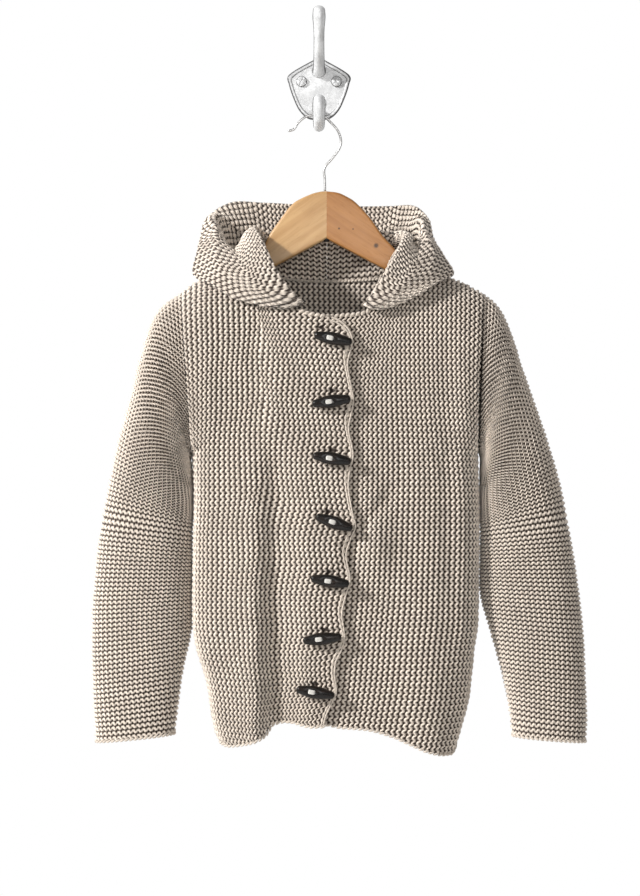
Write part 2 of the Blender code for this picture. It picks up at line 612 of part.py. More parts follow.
def hood_section(row, outward):
    """Control points of one section, from the neck seam over its folds to the rim."""
    seam, out = neck_point(row.seam_x, row.a > NECK_SIDE)
    roll = np.array([row.roll_x, row.roll_drop, row.roll_depth])
    pocket = np.array([row.pocket_x, row.pocket_drop, row.pocket_depth])
    crest = np.array([row.crest_x, row.crest_drop, row.crest_depth])
    rim = np.array([row.rim_x, row.rim_drop, row.rim_depth])
    seam = seam + out * NECK_CLEARANCE
    stand = seam + out * STAND_SHARE * np.linalg.norm(roll - seam)
    return np.array([
        seam, stand,
        *fold_round(stand, roll, pocket, outward, FOLD_RADIUS["roll"]),
        *fold_round(roll, pocket, crest, outward, FOLD_RADIUS["pocket"]),
        *fold_round(pocket, crest, rim, outward, FOLD_RADIUS["crest"]),
        rim,
    ])


def hood_sections(rows, a):
    """Control points of the sections at a, from the back (0) to the front (1) of the neck."""
    seams = np.array([neck_point(row.seam_x, row.a > NECK_SIDE)[0] for row in rows])
    along = np.gradient(seams, axis=0)
    way = np.sign(rows[-1].seam_x - rows[0].seam_x)
    outward = np.stack([-along[:, 2], 0 * along[:, 0], along[:, 0]], axis=1) * way
    table = np.array([hood_section(row, unit(out)) for row, out in zip(rows, outward)])
    return through(table, smooth(column(rows, "a"), np.arange(len(rows)), a))


def make_hood(name, rows, cotton, way):
    steps = np.linspace(0, 1, HOOD_STEPS + 1)
    across = np.linspace(0, 1, HOOD_ACROSS + 1)
    sections = hood_sections(rows, steps)
    middle = np.array([along_section(section, across * (len(section) - 1)) for section in sections])
    points = place(middle[..., 0], middle[..., 1], middle[..., 2])
    normals = grid_normals(points, False)
    normals[0] = keep_in_plane(normals[0], (1, 0, 0))
    half = normals * CLOTH / 2 * MM
    points = points + np.array([way * SEAM_GAP / 2 * MM, 0, 0])
    return wall(name, points + half, points - half, False, cotton)


# ------------------------------------------------------------------ toggles
def make_toggle(number, toggle, horn):
    """A spindle of dark horn that lies on the top front, with a shallow dish for its thread."""
    ends, sides = 9, 12
    v = (PLACKET[0].drop - toggle.drop) / (PLACKET[0].drop - PLACKET[-1].drop)
    surface = body_depth(np.array([toggle.x]), np.array([toggle.drop]), np.array([v]), True)[0]
    surface += lift_at(PLACKET_STEP, np.array([toggle.x]))[0]
    tilt = math.radians(toggle.tilt)
    along = np.array([math.cos(tilt), math.sin(tilt), 0])
    across = np.array([-math.sin(tilt), math.cos(tilt), 0])
    out = np.array([0, 0, -1.0])
    middle = np.array([toggle.x, toggle.drop, -surface - TOGGLE_CLEARANCE - TOGGLE_RADIUS * TOGGLE_FLATNESS])
    points = []
    for i in range(ends + 1):
        s = -1 + 2 * i / ends
        radius = TOGGLE_END_RADIUS + (TOGGLE_RADIUS - TOGGLE_END_RADIUS) * math.cos(s * math.pi / 2) ** 1.3
        for j in range(sides):
            angle = 2 * math.pi * j / sides
            dish = DISH_DEPTH if abs(s) < DISH_LENGTH and math.cos(angle) > 0.8 else 0.0
            high = radius * TOGGLE_FLATNESS * math.cos(angle) - dish
            wide = radius * math.sin(angle)
            spot = middle + along * s * (TOGGLE_LENGTH / 2 - 1) + across * wide + out * high
            points.append(place(*spot))
    for way in (-1, 1):
        points.append(place(*(middle + along * way * TOGGLE_LENGTH / 2)))
    faces = [
        (i * sides + j, i * sides + (j + 1) % sides, (i + 1) * sides + (j + 1) % sides, (i + 1) * sides + j)
        for i in range(ends) for j in range(sides)
    ]
    first, last = len(points) - 2, len(points) - 1
    faces += [(first, (j + 1) % sides, j) for j in range(sides)]
    faces += [(last, ends * sides + j, ends * sides + (j + 1) % sides) for j in range(sides)]
    mesh = bpy.data.meshes.new("toggle")
    mesh.from_pydata([tuple(p) for p in points], [], faces)
    finish_mesh(f"toggle_{number}", mesh, horn)


# ------------------------------------------------------------------ hanger and wall hook
def slab(name, outline, y_low, y_high, bevel, material):
    """A flat piece with this outline, in metres, between two planes of Y, with its edges rounded."""
    work = bmesh.new()
    face = work.faces.new([work.verts.new((x, y_low, z)) for x, z in outline])
    pulled = bmesh.ops.extrude_face_region(work, geom=[face])
    moved = [item for item in pulled["geom"] if isinstance(item, bmesh.types.BMVert)]
    bmesh.ops.translate(work, verts=moved, vec=(0, y_high - y_low, 0))
    mesh = bpy.data.meshes.new(name)
    work.to_mesh(mesh)
    work.free()
    obj = finish_mesh(name, mesh, material, 35)
    edge = obj.modifiers.new("rounded edges", "BEVEL")
    edge.width = bevel * MM
    edge.segments = 2
    edge.limit_method = "ANGLE"
    edge.angle_limit = math.radians(60)
    return obj


def make_hanger(wood_light, wood_dark):
    half = HANGER_THICK / 2
    for name, table, way, wood in (
        ("hanger_left", HANGER_LEFT, -1, wood_light), ("hanger_right", HANGER_RIGHT, 1, wood_dark),
    ):
        top = np.array([(row.x, row.drop) for row in table[:-1]])
        top = through(top, np.linspace(0, len(top) - 1, HANGER_STEPS * (len(top) - 1) + 1))
        foot = table[-1]
        outline = [
            ((x + HANGER_X + (way * MITRE_GAP if abs(x - MITRE_X) < 0.01 else 0)) * MM, -drop * MM)
            for x, drop in [*top, (foot.x, foot.drop)]
        ]
        slab(name, outline, (HANGER_PLANE - half) * MM, (HANGER_PLANE + half) * MM, 1.6, wood)


def tube(name, points, radii, sides, material, start=None):
    """A round bar through these points, in metres, with its own radius at each and closed ends."""
    points, radii = np.asarray(points), np.asarray(radii)
    tangents = np.gradient(points, axis=0)
    if start is not None:
        tangents[0] = start
    tangents /= np.linalg.norm(tangents, axis=1, keepdims=True)
    normal = np.cross(tangents[0], (0.0, 1.0, 0.0))
    if np.linalg.norm(normal) < 0.5:
        normal = np.cross(tangents[0], (1.0, 0.0, 0.0))
    verts = []
    for point, tangent, radius in zip(points, tangents, radii):
        normal = normal - np.dot(normal, tangent) * tangent
        normal /= np.linalg.norm(normal)
        other = np.cross(tangent, normal)
        for j in range(sides):
            angle = 2 * math.pi * (j + 0.5) / sides
            verts.append(point + radius * (math.cos(angle) * normal + math.sin(angle) * other))
    count = len(points)
    faces = [
        (i * sides + j, i * sides + (j + 1) % sides, (i + 1) * sides + (j + 1) % sides, (i + 1) * sides + j)
        for i in range(count - 1) for j in range(sides)
    ]
    faces.append(tuple(range(sides))[::-1])
    faces.append(tuple((count - 1) * sides + j for j in range(sides)))
    mesh = bpy.data.meshes.new(name)
    mesh.from_pydata([tuple(v) for v in verts], [], faces)
    return finish_mesh(name, mesh, material, 40)


def make_wire(steel):
    route = np.array([(row.x, row.drop, 0.0) for row in WIRE_ROUTE])
    points = through(route, np.linspace(0, len(route) - 1, 56))
    points[:, 2] = 0
    tube("hanger_wire", place(points[:, 0], points[:, 1], points[:, 2]), np.full(56, WIRE_RADIUS * MM), 8, steel)


def make_prong(name, table, iron):
    """A cast prong that comes out of the plate, with a round tip."""
    rows = np.array([tuple(row) for row in table])
    points = through(rows, np.linspace(0, len(rows) - 1, 18))
    spots = np.stack([0 * points[:, 0], -points[:, 0], -points[:, 1]], axis=1) * MM
    end = spots[-1] - spots[-2]
    end /= np.linalg.norm(end)
    tip = rows[-1, 2]
    radii = list(points[:, 2] * MM)
    cap = [(0.55, 0.82), (0.85, 0.5)]
    spots = np.vstack([spots] + [spots[-1] + end * tip * far * MM for far, _ in cap])
    radii += [tip * thin * MM for _, thin in cap]
    tube(name, spots, radii, 12, iron, start=(0.0, -1.0, 0.0))


def make_wall_hook(iron, steel):
    right = [(row.x, row.drop) for row in PLATE_HALF]
    left = [(-x, drop) for x, drop in right[-2:0:-1]]
    corners = np.array(right + left)
    closed = np.vstack([corners[-1:], corners, corners[:2]])
    smooth_line = through(closed, np.linspace(1, len(corners) + 1, 36, endpoint=False))
    outline = [(x * MM, -drop * MM) for x, drop in smooth_line]
    slab("wall_plate", outline, -PLATE_THICK * MM, 0.0, 1.2, iron)
    make_prong("lower_prong", LOWER_PRONG, iron)
    make_prong("upper_prong", UPPER_PRONG, iron)
    for number, screw in enumerate(SCREWS, 1):
        depth = -(PLATE_THICK + SEAM_GAP)
        ends = np.array([(screw.x, depth - step, -screw.drop) for step in (0, 1.0, 2.0, 2.4)]) * MM
        radii = np.array([SCREW_RADIUS, SCREW_RADIUS, SCREW_RADIUS * 0.75, SCREW_RADIUS * 0.4]) * MM
        tube(f"screw_{number}", ends, radii, 14, steel)


# ------------------------------------------------------------------ assembly
def main():
    for obj in list(bpy.data.objects):
        bpy.data.objects.remove(obj, do_unlink=True)
    cotton = make_material("oatmeal cotton knit", (0.56, 0.48, 0.41), 0.92)
    wood_light = make_material("pale beech", (0.72, 0.47, 0.22), 0.42)
    wood_dark = make_material("warm beech", (0.60, 0.33, 0.13), 0.42)
    steel = make_material("bright wire", (0.55, 0.54, 0.52), 0.25, 1.0)
    iron = make_material("cast white metal", (0.80, 0.80, 0.80), 0.4, 0.0)
    horn = make_material("dark horn", (0.025, 0.017, 0.014), 0.25)
    make_body(cotton)
    make_sleeve("sleeve_right", LEFT_SLEEVE, cotton, -1)
    make_sleeve("sleeve_left", RIGHT_SLEEVE, cotton, 1)
    make_hood("hood_right", LEFT_HOOD, cotton, -1)
    make_hood("hood_left", RIGHT_HOOD, cotton, 1)
    for number, toggle in enumerate(TOGGLES, 1):
        make_toggle(number, toggle, horn)
    make_hanger(wood_light, wood_dark)
    make_wire(steel)
    make_wall_hook(iron, steel)


main()
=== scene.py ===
"""Dresses a child's hand-knitted hooded cardigan, its toggles, its wooden hanger and the cast wall hook.

Every knitted piece is a thin closed shell on its solid's own form. Its outer side is a fine grid whose
rows follow the knitting, and a Geometry Nodes tree raises the garter ridges on it stitch by stitch.
Tables are in millimetres: x from the hanger's wire, drop down from the origin, and depth from the
hanger's middle plane, with plus towards the wall. "left" and "right" are the viewer's in the tables
and in the hanger's names, and the wearer's in the names of the knitted pieces.
"""

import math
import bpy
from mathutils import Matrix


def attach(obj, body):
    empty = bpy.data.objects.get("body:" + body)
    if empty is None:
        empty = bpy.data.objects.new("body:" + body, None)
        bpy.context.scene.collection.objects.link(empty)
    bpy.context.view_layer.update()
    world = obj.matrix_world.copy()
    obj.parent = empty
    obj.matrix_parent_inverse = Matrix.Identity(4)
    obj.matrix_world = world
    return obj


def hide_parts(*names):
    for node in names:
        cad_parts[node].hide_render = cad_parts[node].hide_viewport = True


bl_info = {
    "name": "Hooded garter-stitch cardigan",
    "version": (1, 0, 0),
    "blender": (4, 5, 0),
    "location": "3D View > Sidebar > Cardigan",
    "description": "Knits, hangs and lights a child's hooded cardigan with toggles",
    "category": "Add Mesh",
}

from collections import namedtuple

import bmesh
import bpy
import numpy as np
from bpy.props import FloatProperty, FloatVectorProperty, IntProperty, PointerProperty
from mathutils import Vector

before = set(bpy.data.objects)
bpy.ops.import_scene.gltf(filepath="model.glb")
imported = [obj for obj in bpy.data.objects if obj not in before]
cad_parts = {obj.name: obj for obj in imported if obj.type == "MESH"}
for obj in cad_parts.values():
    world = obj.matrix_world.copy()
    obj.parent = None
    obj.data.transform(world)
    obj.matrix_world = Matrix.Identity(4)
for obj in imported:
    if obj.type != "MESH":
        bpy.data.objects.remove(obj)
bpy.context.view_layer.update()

MM = 0.001

# -------- driving dimensions
HANGER_X = 5.0          # the wire hangs this far right of the wall hook's middle
HANGER_PLANE = -72.0    # the hanger's middle plane, out from the wall
CLOTH = 3.0             # thickness of the garter-stitch cloth, from the solid's outer face in
SEAM_GAP = 0.3          # between pieces at a seam
PLACKET_STEP = 5.8      # how far the top front lies over the under front

SHOULDER_ROUND = 52.0   # drop over which a shoulder rounds from its ridge to full depth
SIDE_POWER = 3.0        # squareness of the body's sides
ARMHOLE_POWER = 2.3     # squareness of the sleeve's head
ARMHOLE_DEPTH = 26.0    # half the depth of the sleeve's head
ARM_FADE_FROM, ARM_FADE_TO = 292.5, 465.0   # drops over which the armhole's fullness fades into the body
ARM_EDGE_POWER = 10     # how closely the armhole's own curve keeps to the body's edge
SLEEVE_POWER = 2.3

HANGER_THICK = 12.0
WIRE_RADIUS = 1.25
TOGGLE_LENGTH = 38.0
TOGGLE_RADIUS = 6.3
TOGGLE_END_RADIUS = 3.4
TOGGLE_FLATNESS = 0.8   # its thickness as a share of its width
TOGGLE_CLEARANCE = 1.2  # between the cloth and the toggle's back
DISH_DEPTH = 1.2

# Edges of the body, hem to shoulder: x at each drop.
Edge = namedtuple("Edge", "drop x")
LEFT_EDGE = [
    Edge(661, -104), Edge(651, -108.5), Edge(636, -112), Edge(614, -115.2), Edge(596, -118.8),
    Edge(569, -127.2), Edge(545, -130.8), Edge(510, -131.2), Edge(423, -130), Edge(372, -132),
    Edge(213, -143),
]
RIGHT_EDGE = [
    Edge(664, 132), Edge(647, 137), Edge(615, 145), Edge(572, 149.6), Edge(536, 154),
    Edge(432, 155), Edge(343, 153), Edge(213, 159),
]
UNDERARM_DROP = 372.0
SHOULDER_DROP = 213.0
PLACKET = [
    Edge(642, -1), Edge(632, 1.5), Edge(619, 7.5), Edge(607, 12.2), Edge(590, 10.4), Edge(580, 11.2),
    Edge(566, 17.4), Edge(555, 20.4), Edge(531, 17.6), Edge(514, 21.2), Edge(498, 25.6), Edge(474, 21.8),
    Edge(458, 26.2), Edge(445, 31), Edge(432, 28), Edge(404, 24), Edge(390, 25.4), Edge(376, 28.6),
    Edge(348, 24.2), Edge(336, 26.6), Edge(322, 29), Edge(308, 26.8), Edge(286, 23.2), Edge(271, 26.6),
    Edge(261, 28.4),
]
UNDERLAP = 40.0         # how far the under front runs on beneath the top one
UNDERLAP_FROM = (0.5, 30.0)     # the line that the underlap is counted from: x at the hem and at the top
LIFT_FROM, LIFT_FULL = -72.0, -44.0     # x between which the top front rises over the under one

# Hem and top lines: drop at each x.
Line = namedtuple("Line", "x drop")
HEM_LEFT_FRONT = [
    Line(-104, 661), Line(-96, 663.5), Line(-85, 662), Line(-70, 658), Line(-58, 652),
    Line(-50, 641.5), Line(-36, 638.5), Line(-12, 642.5), Line(-1, 642),
]
HEM_RIGHT_FRONT = [
    Line(-43, 639), Line(3, 641), Line(16, 643.5), Line(41, 645.5), Line(67, 652.5), Line(85, 660.5),
    Line(104, 668.5), Line(119, 671.5), Line(127, 671), Line(132, 664),
]
HEM_BACK = [Line(-104, 661), Line(-60, 642), Line(0, 634), Line(70, 637), Line(132, 664)]
SHOULDER_LEFT = [
    Line(-143, 213), Line(-139, 209), Line(-131, 203), Line(-109, 190.5), Line(-84, 177), Line(-68, 165),
]
SHOULDER_RIGHT = [
    Line(82, 169), Line(100, 181), Line(129, 197.5), Line(144, 204.5), Line(159, 213),
]
RIDGE_OVER_NECK = [Line(-40, 152), Line(8, 145), Line(56, 154)]
NECK_FRONT = [
    Line(-63, 180), Line(-56, 198), Line(-45, 216), Line(-31, 228), Line(-15, 235), Line(3, 237.5),
    Line(22, 236.5), Line(40, 234), Line(51, 223), Line(61, 207), Line(72, 187),
]
NECK_TOP_FRONT = [
    Line(-63, 180), Line(-56, 198), Line(-45, 216), Line(-31, 228), Line(-15, 235), Line(0, 237.5),
    Line(11, 240.5), Line(19, 245.5), Line(25, 252.5), Line(28.4, 261),
]
NECK_BACK = [
    Line(-64, 175), Line(-55, 190), Line(-42, 198), Line(3, 201), Line(54, 198.5), Line(68, 190),
    Line(77, 179),
]

# Half depth of the body in front of and behind the hanger's plane.
Depth = namedtuple("Depth", "drop front back")
BODY_DEPTH = [
    Depth(150, 31, 25), Depth(213, 32, 26), Depth(300, 36, 27), Depth(450, 38, 27), Depth(560, 37, 27),
    Depth(675, 35, 26),
]

# Folds: a crest (plus) or trough (minus) along a line from its top to its foot.
FOLD_RUN_IN, FOLD_RUN_OUT = 60.0, 50.0  # drop over which a fold begins above its line and ends below it
FOLD_FULL_AT = 1.5      # folds are full at the shoulder's rounding divided by this
Fold = namedtuple("Fold", "x_top drop_top x_foot drop_foot width height_top height_foot")
FRONT_FOLDS = [
    Fold(-84, 400, -81, 680, 15, 3.0, 6.0),
    Fold(-70, 400, -68, 680, 9, 3.0, 10.0),
    Fold(-48, 400, -46, 680, 11, -8.0, -15.0),
    Fold(-33, 410, -31, 680, 11, -3.0, -8.0),
    Fold(-118, 250, -112, 600, 10, 3.0, 2.0),
    Fold(40, 395, 52, 460, 15, 2.0, 6.0),
    Fold(74, 400, 24, 462, 9, -1.0, -5.0),
    Fold(98, 480, 112, 680, 26, 0.5, 7.0),
    Fold(138, 300, 140, 560, 9, 2.5, 2.5),
    Fold(120, 290, 124, 480, 10, -2.0, -2.5),
]
BACK_FOLDS = [
    Fold(-70, 420, -62, 680, 22, 0.5, 5.0),
    Fold(-20, 400, -28, 680, 20, -0.5, -5.0),
    Fold(30, 380, 24, 680, 24, 0.5, 5.0),
    Fold(88, 400, 84, 680, 20, -0.5, -4.5),
]

# Sleeves: rings from the armhole round to the cuff, each from its outer point to its inner point.
Ring = namedtuple("Ring", "out_x out_drop in_x in_drop half_depth back")
LEFT_SLEEVE = [
    Ring(-143, 213, -132, 372, 26, 0), Ring(-155, 221, -133, 376, 27, 0),
    Ring(-167, 232, -133.5, 380, 28, 1), Ring(-177.5, 254, -133, 385, 28, 1),
    Ring(-185.5, 280, -132.5, 391, 28, 2),
    Ring(-193, 311, -132, 398, 28, 3), Ring(-201, 341, -131.5, 407, 28, 4),
    Ring(-209, 372, -131.5, 418, 28, 4), Ring(-217, 410, -131.5, 435, 27, 5),
    Ring(-222.5, 439, -131.8, 453, 26, 5), Ring(-227.4, 470, -132, 476, 25, 5),
    Ring(-232, 520, -132.2, 515, 24, 5), Ring(-233, 562, -132.8, 550, 23, 4),
    Ring(-232, 603, -141, 589, 22, 3), Ring(-230.5, 636, -146, 624, 21, 2),
    Ring(-228.5, 661, -149.5, 653, 20, 1),
]
RIGHT_SLEEVE = [
    Ring(159, 213, 154.7, 372, 26, 0), Ring(172, 224, 156.2, 376, 27, 0), Ring(181, 238, 157, 380, 28, 1),
    Ring(190, 261, 157, 385, 28, 1), Ring(197, 284, 156.5, 391, 28, 2),
    Ring(208, 315, 156.5, 398, 28, 3), Ring(218, 343, 156.5, 407, 28, 4),
    Ring(228, 374, 156.5, 418, 28, 4), Ring(237, 406, 156.5, 434, 27, 5),
    Ring(244, 440, 156.5, 453, 26, 5), Ring(250, 474, 156.5, 478, 25, 5),
    Ring(256.5, 520, 157, 515, 24, 5), Ring(260.5, 562, 167.5, 554, 23, 4),
    Ring(262, 603, 178.5, 594, 22, 3), Ring(263, 636, 185, 626, 21, 2),
    Ring(262, 661, 188.5, 655, 20, 1),
]

# Hood halves: sections from the middle of the back (a = 0) round to the front of the neck (a = 1).
Section = namedtuple(
    "Section",
    "a seam_x roll_x roll_drop roll_depth pocket_x pocket_drop pocket_depth"
    " crest_x crest_drop crest_depth rim_x rim_drop rim_depth",
)
LEFT_HOOD = [
    Section(0.00, 3, 3, 147, 26, 3, 322, 47, 3, 160, 54, 3, 119, 58),
    Section(0.15, -18, -20, 148, 25, -22, 316, 47, -25, 158, 53, -26, 118.5, 57),
    Section(0.30, -40, -43, 150, 20, -50, 286, 45, -57, 151, 50, -61, 117, 55),
    Section(0.42, -56, -58, 152, 12, -75, 230, 40, -87, 139, 41, -95, 117.5, 48),
    Section(0.52, -65, -66, 149, 2, -88, 182, 25, -111, 132, 29, -119, 135, 33),
    Section(0.61, -68, -69, 150, -10, -92, 172, 2, -109, 148, 3, -124, 156, 9),
    Section(0.70, -63, -62, 162, -26, -86, 176, -20, -107, 165, -14, -127, 174, -5),
    Section(0.78, -57, -54, 180, -38, -80, 190, -36, -106, 184, -28, -130, 196, -14),
    Section(0.86, -48, -45, 197, -42, -69, 205, -43, -91, 203, -38, -110, 208, -31),
    Section(0.94, -35, -31, 215, -43, -48, 218, -44, -66, 220, -42, -83, 223, -39),
    Section(1.00, -23, -18, 226, -41, -25, 229, -42, -34, 231, -41.6, -43, 231, -41.2),
]
RIGHT_HOOD = [
    Section(0.00, 3, 3, 147, 26, 3, 322, 47, 3, 160, 54, 3, 119, 58),
    Section(0.15, 24, 26, 148, 25, 28, 316, 47, 31, 158, 53, 32, 120.5, 57),
    Section(0.30, 46, 49, 150, 20, 56, 286, 45, 63, 152, 50, 67, 120.5, 55),
    Section(0.42, 63, 68, 152, 12, 80, 230, 40, 86, 143, 41, 92, 121, 48),
    Section(0.52, 79, 78, 152, 2, 89, 180, 25, 98, 134, 28, 106, 136, 32),
    Section(0.61, 82, 81, 156, -10, 92, 168, 0, 101, 153, 2, 110, 158, 8),
    Section(0.70, 74, 76, 168, -27, 92, 178, -23, 107, 168, -14, 119, 176, -6),
    Section(0.78, 68, 68, 184, -38, 86, 193, -36, 107, 188, -28, 129, 195, -15),
    Section(0.86, 60, 59, 200, -42, 76, 209, -43, 94, 208, -38, 112, 205, -32),
    Section(0.94, 50, 47, 218, -43, 60, 222, -44, 75, 222, -42, 90, 219, -39),
    Section(1.00, 42, 39, 228, -41, 45, 231, -42, 53, 232, -41, 61, 231, -39),
]
FOLD_RADIUS = {"roll": 5.0, "pocket": 7.0, "crest": 6.0}
NECK_CLEARANCE = 2.0    # the hood's seam above the panels' neck edges
NECK_SIDE = 0.6         # where the neck seam passes from the back panel to a front
STAND_SHARE = 0.3       # how much of the way up to the roll the hood stands straight
FOLD_REACH = 0.4        # share of the way to the next point that a fold's bend may take up
OPEN_FROM, OPEN_OVER = 0.45, 0.4    # how far apart a fold's sides stand where it starts to count as open

# Toggles, top to bottom: middle, and tilt with plus where the right end is lower.
Toggle = namedtuple("Toggle", "x drop tilt")
TOGGLES = [
    Toggle(8.9, 260.6, 11.5), Toggle(7.3, 322.2, -8.5), Toggle(7.7, 378.3, 9.5), Toggle(10, 441, 18.6),
    Toggle(5.8, 498.5, 8.4), Toggle(-1.8, 555, -6), Toggle(-8.6, 607.6, 9.8),
]

# Hanger: outline of each half from the mitre to the tip, and back along the under edge.
MITRE_X = 2.6
MITRE_GAP = 0.02
HANGER_LEFT = [
    Line(2.6, 111.5), Line(-4, 112), Line(-14.5, 115), Line(-30, 123), Line(-41, 136), Line(-55, 156),
    Line(-61, 168), Line(-71, 180.5), Line(-84, 189), Line(-124, 209), Line(-133, 215), Line(-137, 221),
    Line(-134, 227), Line(-126, 228), Line(2.6, 159),
]
HANGER_RIGHT = [
    Line(2.6, 111.5), Line(14, 113), Line(23, 117), Line(32, 123), Line(46, 138), Line(58.5, 155.5),
    Line(69, 167), Line(76, 175), Line(88, 184), Line(132, 207), Line(142, 213), Line(146, 220),
    Line(143, 227), Line(135, 229), Line(2.6, 159),
]
WIRE_ROUTE = [
    Line(1, 110.9), Line(0.8, 100), Line(0.6, 88), Line(8.5, 78), Line(15, 69), Line(17, 61), Line(14, 51),
    Line(7, 42.5), Line(1, 37), Line(-5, 34.6), Line(-12, 35), Line(-19, 37), Line(-26, 43), Line(-30, 49),
    Line(-36, 51),
]

# Wall hook, with x from the origin: plate outline, and its two prongs in side view, out from the wall.
PLATE_THICK = 4.0
PLATE_HALF = [
    Line(0, -33), Line(10, -29), Line(31, -16), Line(31, -6), Line(26, 9), Line(20, 21), Line(11, 29),
    Line(0, 30),
]
Prong = namedtuple("Prong", "out drop radius")
LOWER_PRONG = [
    Prong(4.3, 24.3, 4.6), Prong(8, 24.4, 4.8), Prong(32, 34, 5.6), Prong(52, 42, 5.6),
    Prong(68, 45.5, 5.6), Prong(79, 45, 5.8), Prong(88, 38, 6.2), Prong(91, 28, 6.6), Prong(91, 22, 6.0),
]
UPPER_PRONG = [
    Prong(4.3, -20, 7.2), Prong(9, -20.6, 6.6), Prong(20, -27, 5.8), Prong(34, -42, 5.4),
    Prong(43, -56, 5.6), Prong(47, -67, 6.6), Prong(47.5, -74, 6.2),
]
Screw = namedtuple("Screw", "x drop")
SCREWS = [Screw(-18, -9), Screw(18, -9), Screw(0, 12)]
SCREW_RADIUS = 5.5

# Rings of the cast and turned pieces from the back or foot on: how wide as a share, how high, how much
# painted shade darkens them.
Turned = namedtuple("Turned", "share high stain")
PLATE_RINGS = [
    Turned(1.0, 0.0, 1.0), Turned(1.0, 2.6, 1.0), Turned(0.985, 3.5, 1.0), Turned(0.96, 4.0, 0.55),
    Turned(0.90, 4.0, 0.0), Turned(0.87, 3.4, 0.7), Turned(0.84, 3.2, 0.2), Turned(0.5, 3.3, 0.0),
    Turned(0.2, 3.4, 0.0),
]
SCREW_RINGS = [
    Turned(1.0, 0.0, 1.0), Turned(1.0, 0.5, 1.0), Turned(0.96, 0.9, 0.9), Turned(0.86, 1.4, 0.1),
    Turned(0.7, 1.8, 0.0), Turned(0.5, 2.1, 0.0), Turned(0.3, 2.3, 0.1), Turned(0.12, 2.4, 0.5),
]
NutRing = namedtuple("NutRing", "radius drop")
NUT_RINGS = [
    NutRing(2.5, 158.2), NutRing(5.2, 158.4), NutRing(5.4, 159.0), NutRing(5.4, 159.9),
    NutRing(5.1, 160.3), NutRing(3.3, 160.4), NutRing(3.1, 161.4), NutRing(2.6, 161.8),
]
NUT_DEPTH = 0.9         # its depth as a share of its width

# -------- how finely things are knitted and drawn
RIDGE_PROFILE = (0.0, 0.27, 0.5, 0.73)
ROWS_PER_STITCH = 4
LEVEL_POWER = 7         # how close to the top line the rows of stitches begin to bend to it
LEVEL_DROP = 420.0      # the body's stitches are counted up and down from here
CALM_REACH = 26         # probes each way over which a ridge's place is averaged
PROBES = 220            # samples of a surface line when its length is measured
RATE_CALM = 12          # rows' heights are averaged over a twelfth of the columns each way
LONG_STROKE = 0.22      # how much slower a ridge swings one way than back
CORD_ROUNDNESS = 1.25
KNUCKLE_AT, KNUCKLE_SHARE = 0.10, 0.16  # where in a stitch its ridge is highest, and by how much
GAP_SHARPNESS = 1.7
LEG_AT, LEG_SHARE, LEG_BREADTH = 0.7, 0.35, 0.7     # the yarn that crosses the pit between two ridges
GAP_SHADE, DOT_SHADE = 0.56, 0.46         # how much painted shade darkens the knitting between its ridges and at its dots
BIG_DOT_SHADE, LINK_SHADE = 0.40, 0.24    # and at every second dot and between two stitches
PLAIN_SWING = -0.2      # how far the drawn ridges of a plain inner side swing, in ridges
TWIST_BUMP, FLECK_BUMP, DRAWN_BUMP = 0.16, 0.5, 2.2     # heights in the knit's bump
RIDGE_JITTER, DRIFT_JITTER = 0.22, 1.3  # how far a ridge, and a stretch of cloth, is out of step
GRAIN_SHARE = 0.9       # how much stitches differ in height
EDGE_SINK = 0.5         # how far the knitting rounds down at an edge, as a share of the relief
PIT_HOLD = 0.45         # how much less the pits swing than the crests
CREST_OVER = 0.85       # share of the relief that lies within the solid's wall
DRIFT_SCALE = 22.0
STITCH_NOISE_SCALE = 170.0
SLEEVE_SHIFT = -0.2     # the knitted sleeve lies this much closer to the body than its solid
# Buttonholes sink into the relief, and the knit material darkens them by the same amount as painted shade.
HOLE_HALF_WIDTH, HOLE_HALF_HEIGHT = 3.2, 2.4
HOLE_SINK = 0.55
LOOSE_MORE, LOOSE_DROP, LOOSE_SPREAD = 0.42, 438.0, 16.0    # a sleeve's ridges are wider here
SLEEVE_COLUMNS = (226, 157, 40)     # of the upper band, the lower band and the plain inner side
HOOD_PROBES = 300
HOOD_POCKET = 6         # the section's control point in the fold of the bag
HOOD_STITCHES, HOOD_ROWS_PER_STITCH = 36, 4
HOOD_ROUNDING = 24
HOOD_LINE_POINTS = 90   # on each leg of a hood's ridge before it is spaced evenly
HOOD_LINE_DENSITY = 4   # points a row while it is being spaced
BACK_ROWS_PER_STITCH = 3
SLEEVE_WAVE = 0.85      # wave of the sleeves' stitches as a share of the body's
HOOD_WAVE, HOOD_RELIEF = 0.95, 0.5
TWISTS, TWIST_SLANT = 4.0, 3.0

# -------- trims
BUTTONHOLES = [
    Line(-2, 249), Line(7.3, 312), Line(7.3, 370.5), Line(3, 431), Line(3.9, 490.5), Line(-0.1, 547),
    Line(-10, 600.5),
]
Chain = namedtuple("Chain", "pitch radius lean")
HEM_CHAIN = Chain(5.2, 1.3, 0.4)
CUFF_CHAIN = Chain(4.6, 1.3, 0.4)
CAST_OFF_CHAIN = Chain(5.0, 1.9, 0.6)
PICKUP_CHAIN = Chain(3.4, 1.5, 0.5)
BUMP_REACH = 0.62       # half a bump's length as a share of the pitch
CUFF_POINTS = 160
PICKUP_POINTS, PICKUP_RISE, PICKUP_PROUD = 60, 1.0, 2.2
CAST_OFF_FROM, CAST_OFF_TO, CAST_OFF_POINTS = -22.0, 56.0, 50
CAST_OFF_LEVEL = 8.0    # x where that edge is down on the under front; at 0 it is still on the top one
CAST_OFF_SINK, CAST_OFF_INSET = 0.4, 0.3
CORD_INSETS = ((0.2, 0.0), (1.6, 1.5))  # in from the placket's edge: at a toggle, and how much more between
CORD_SPREAD_OVER = 16.0
CORD_PANEL_WIDTH = 150.0    # width of the top front that the insets are counted on
CORD_CORNER_POINTS, CORD_CALM = 30, 2
CORD_RADIUS, CORD_PROUD = 0.85, 0.3
CORD_POINTS, CORD_BUMPS, CORD_SWELL = 500, 72, 0.22
CORD_END_T = 0.874
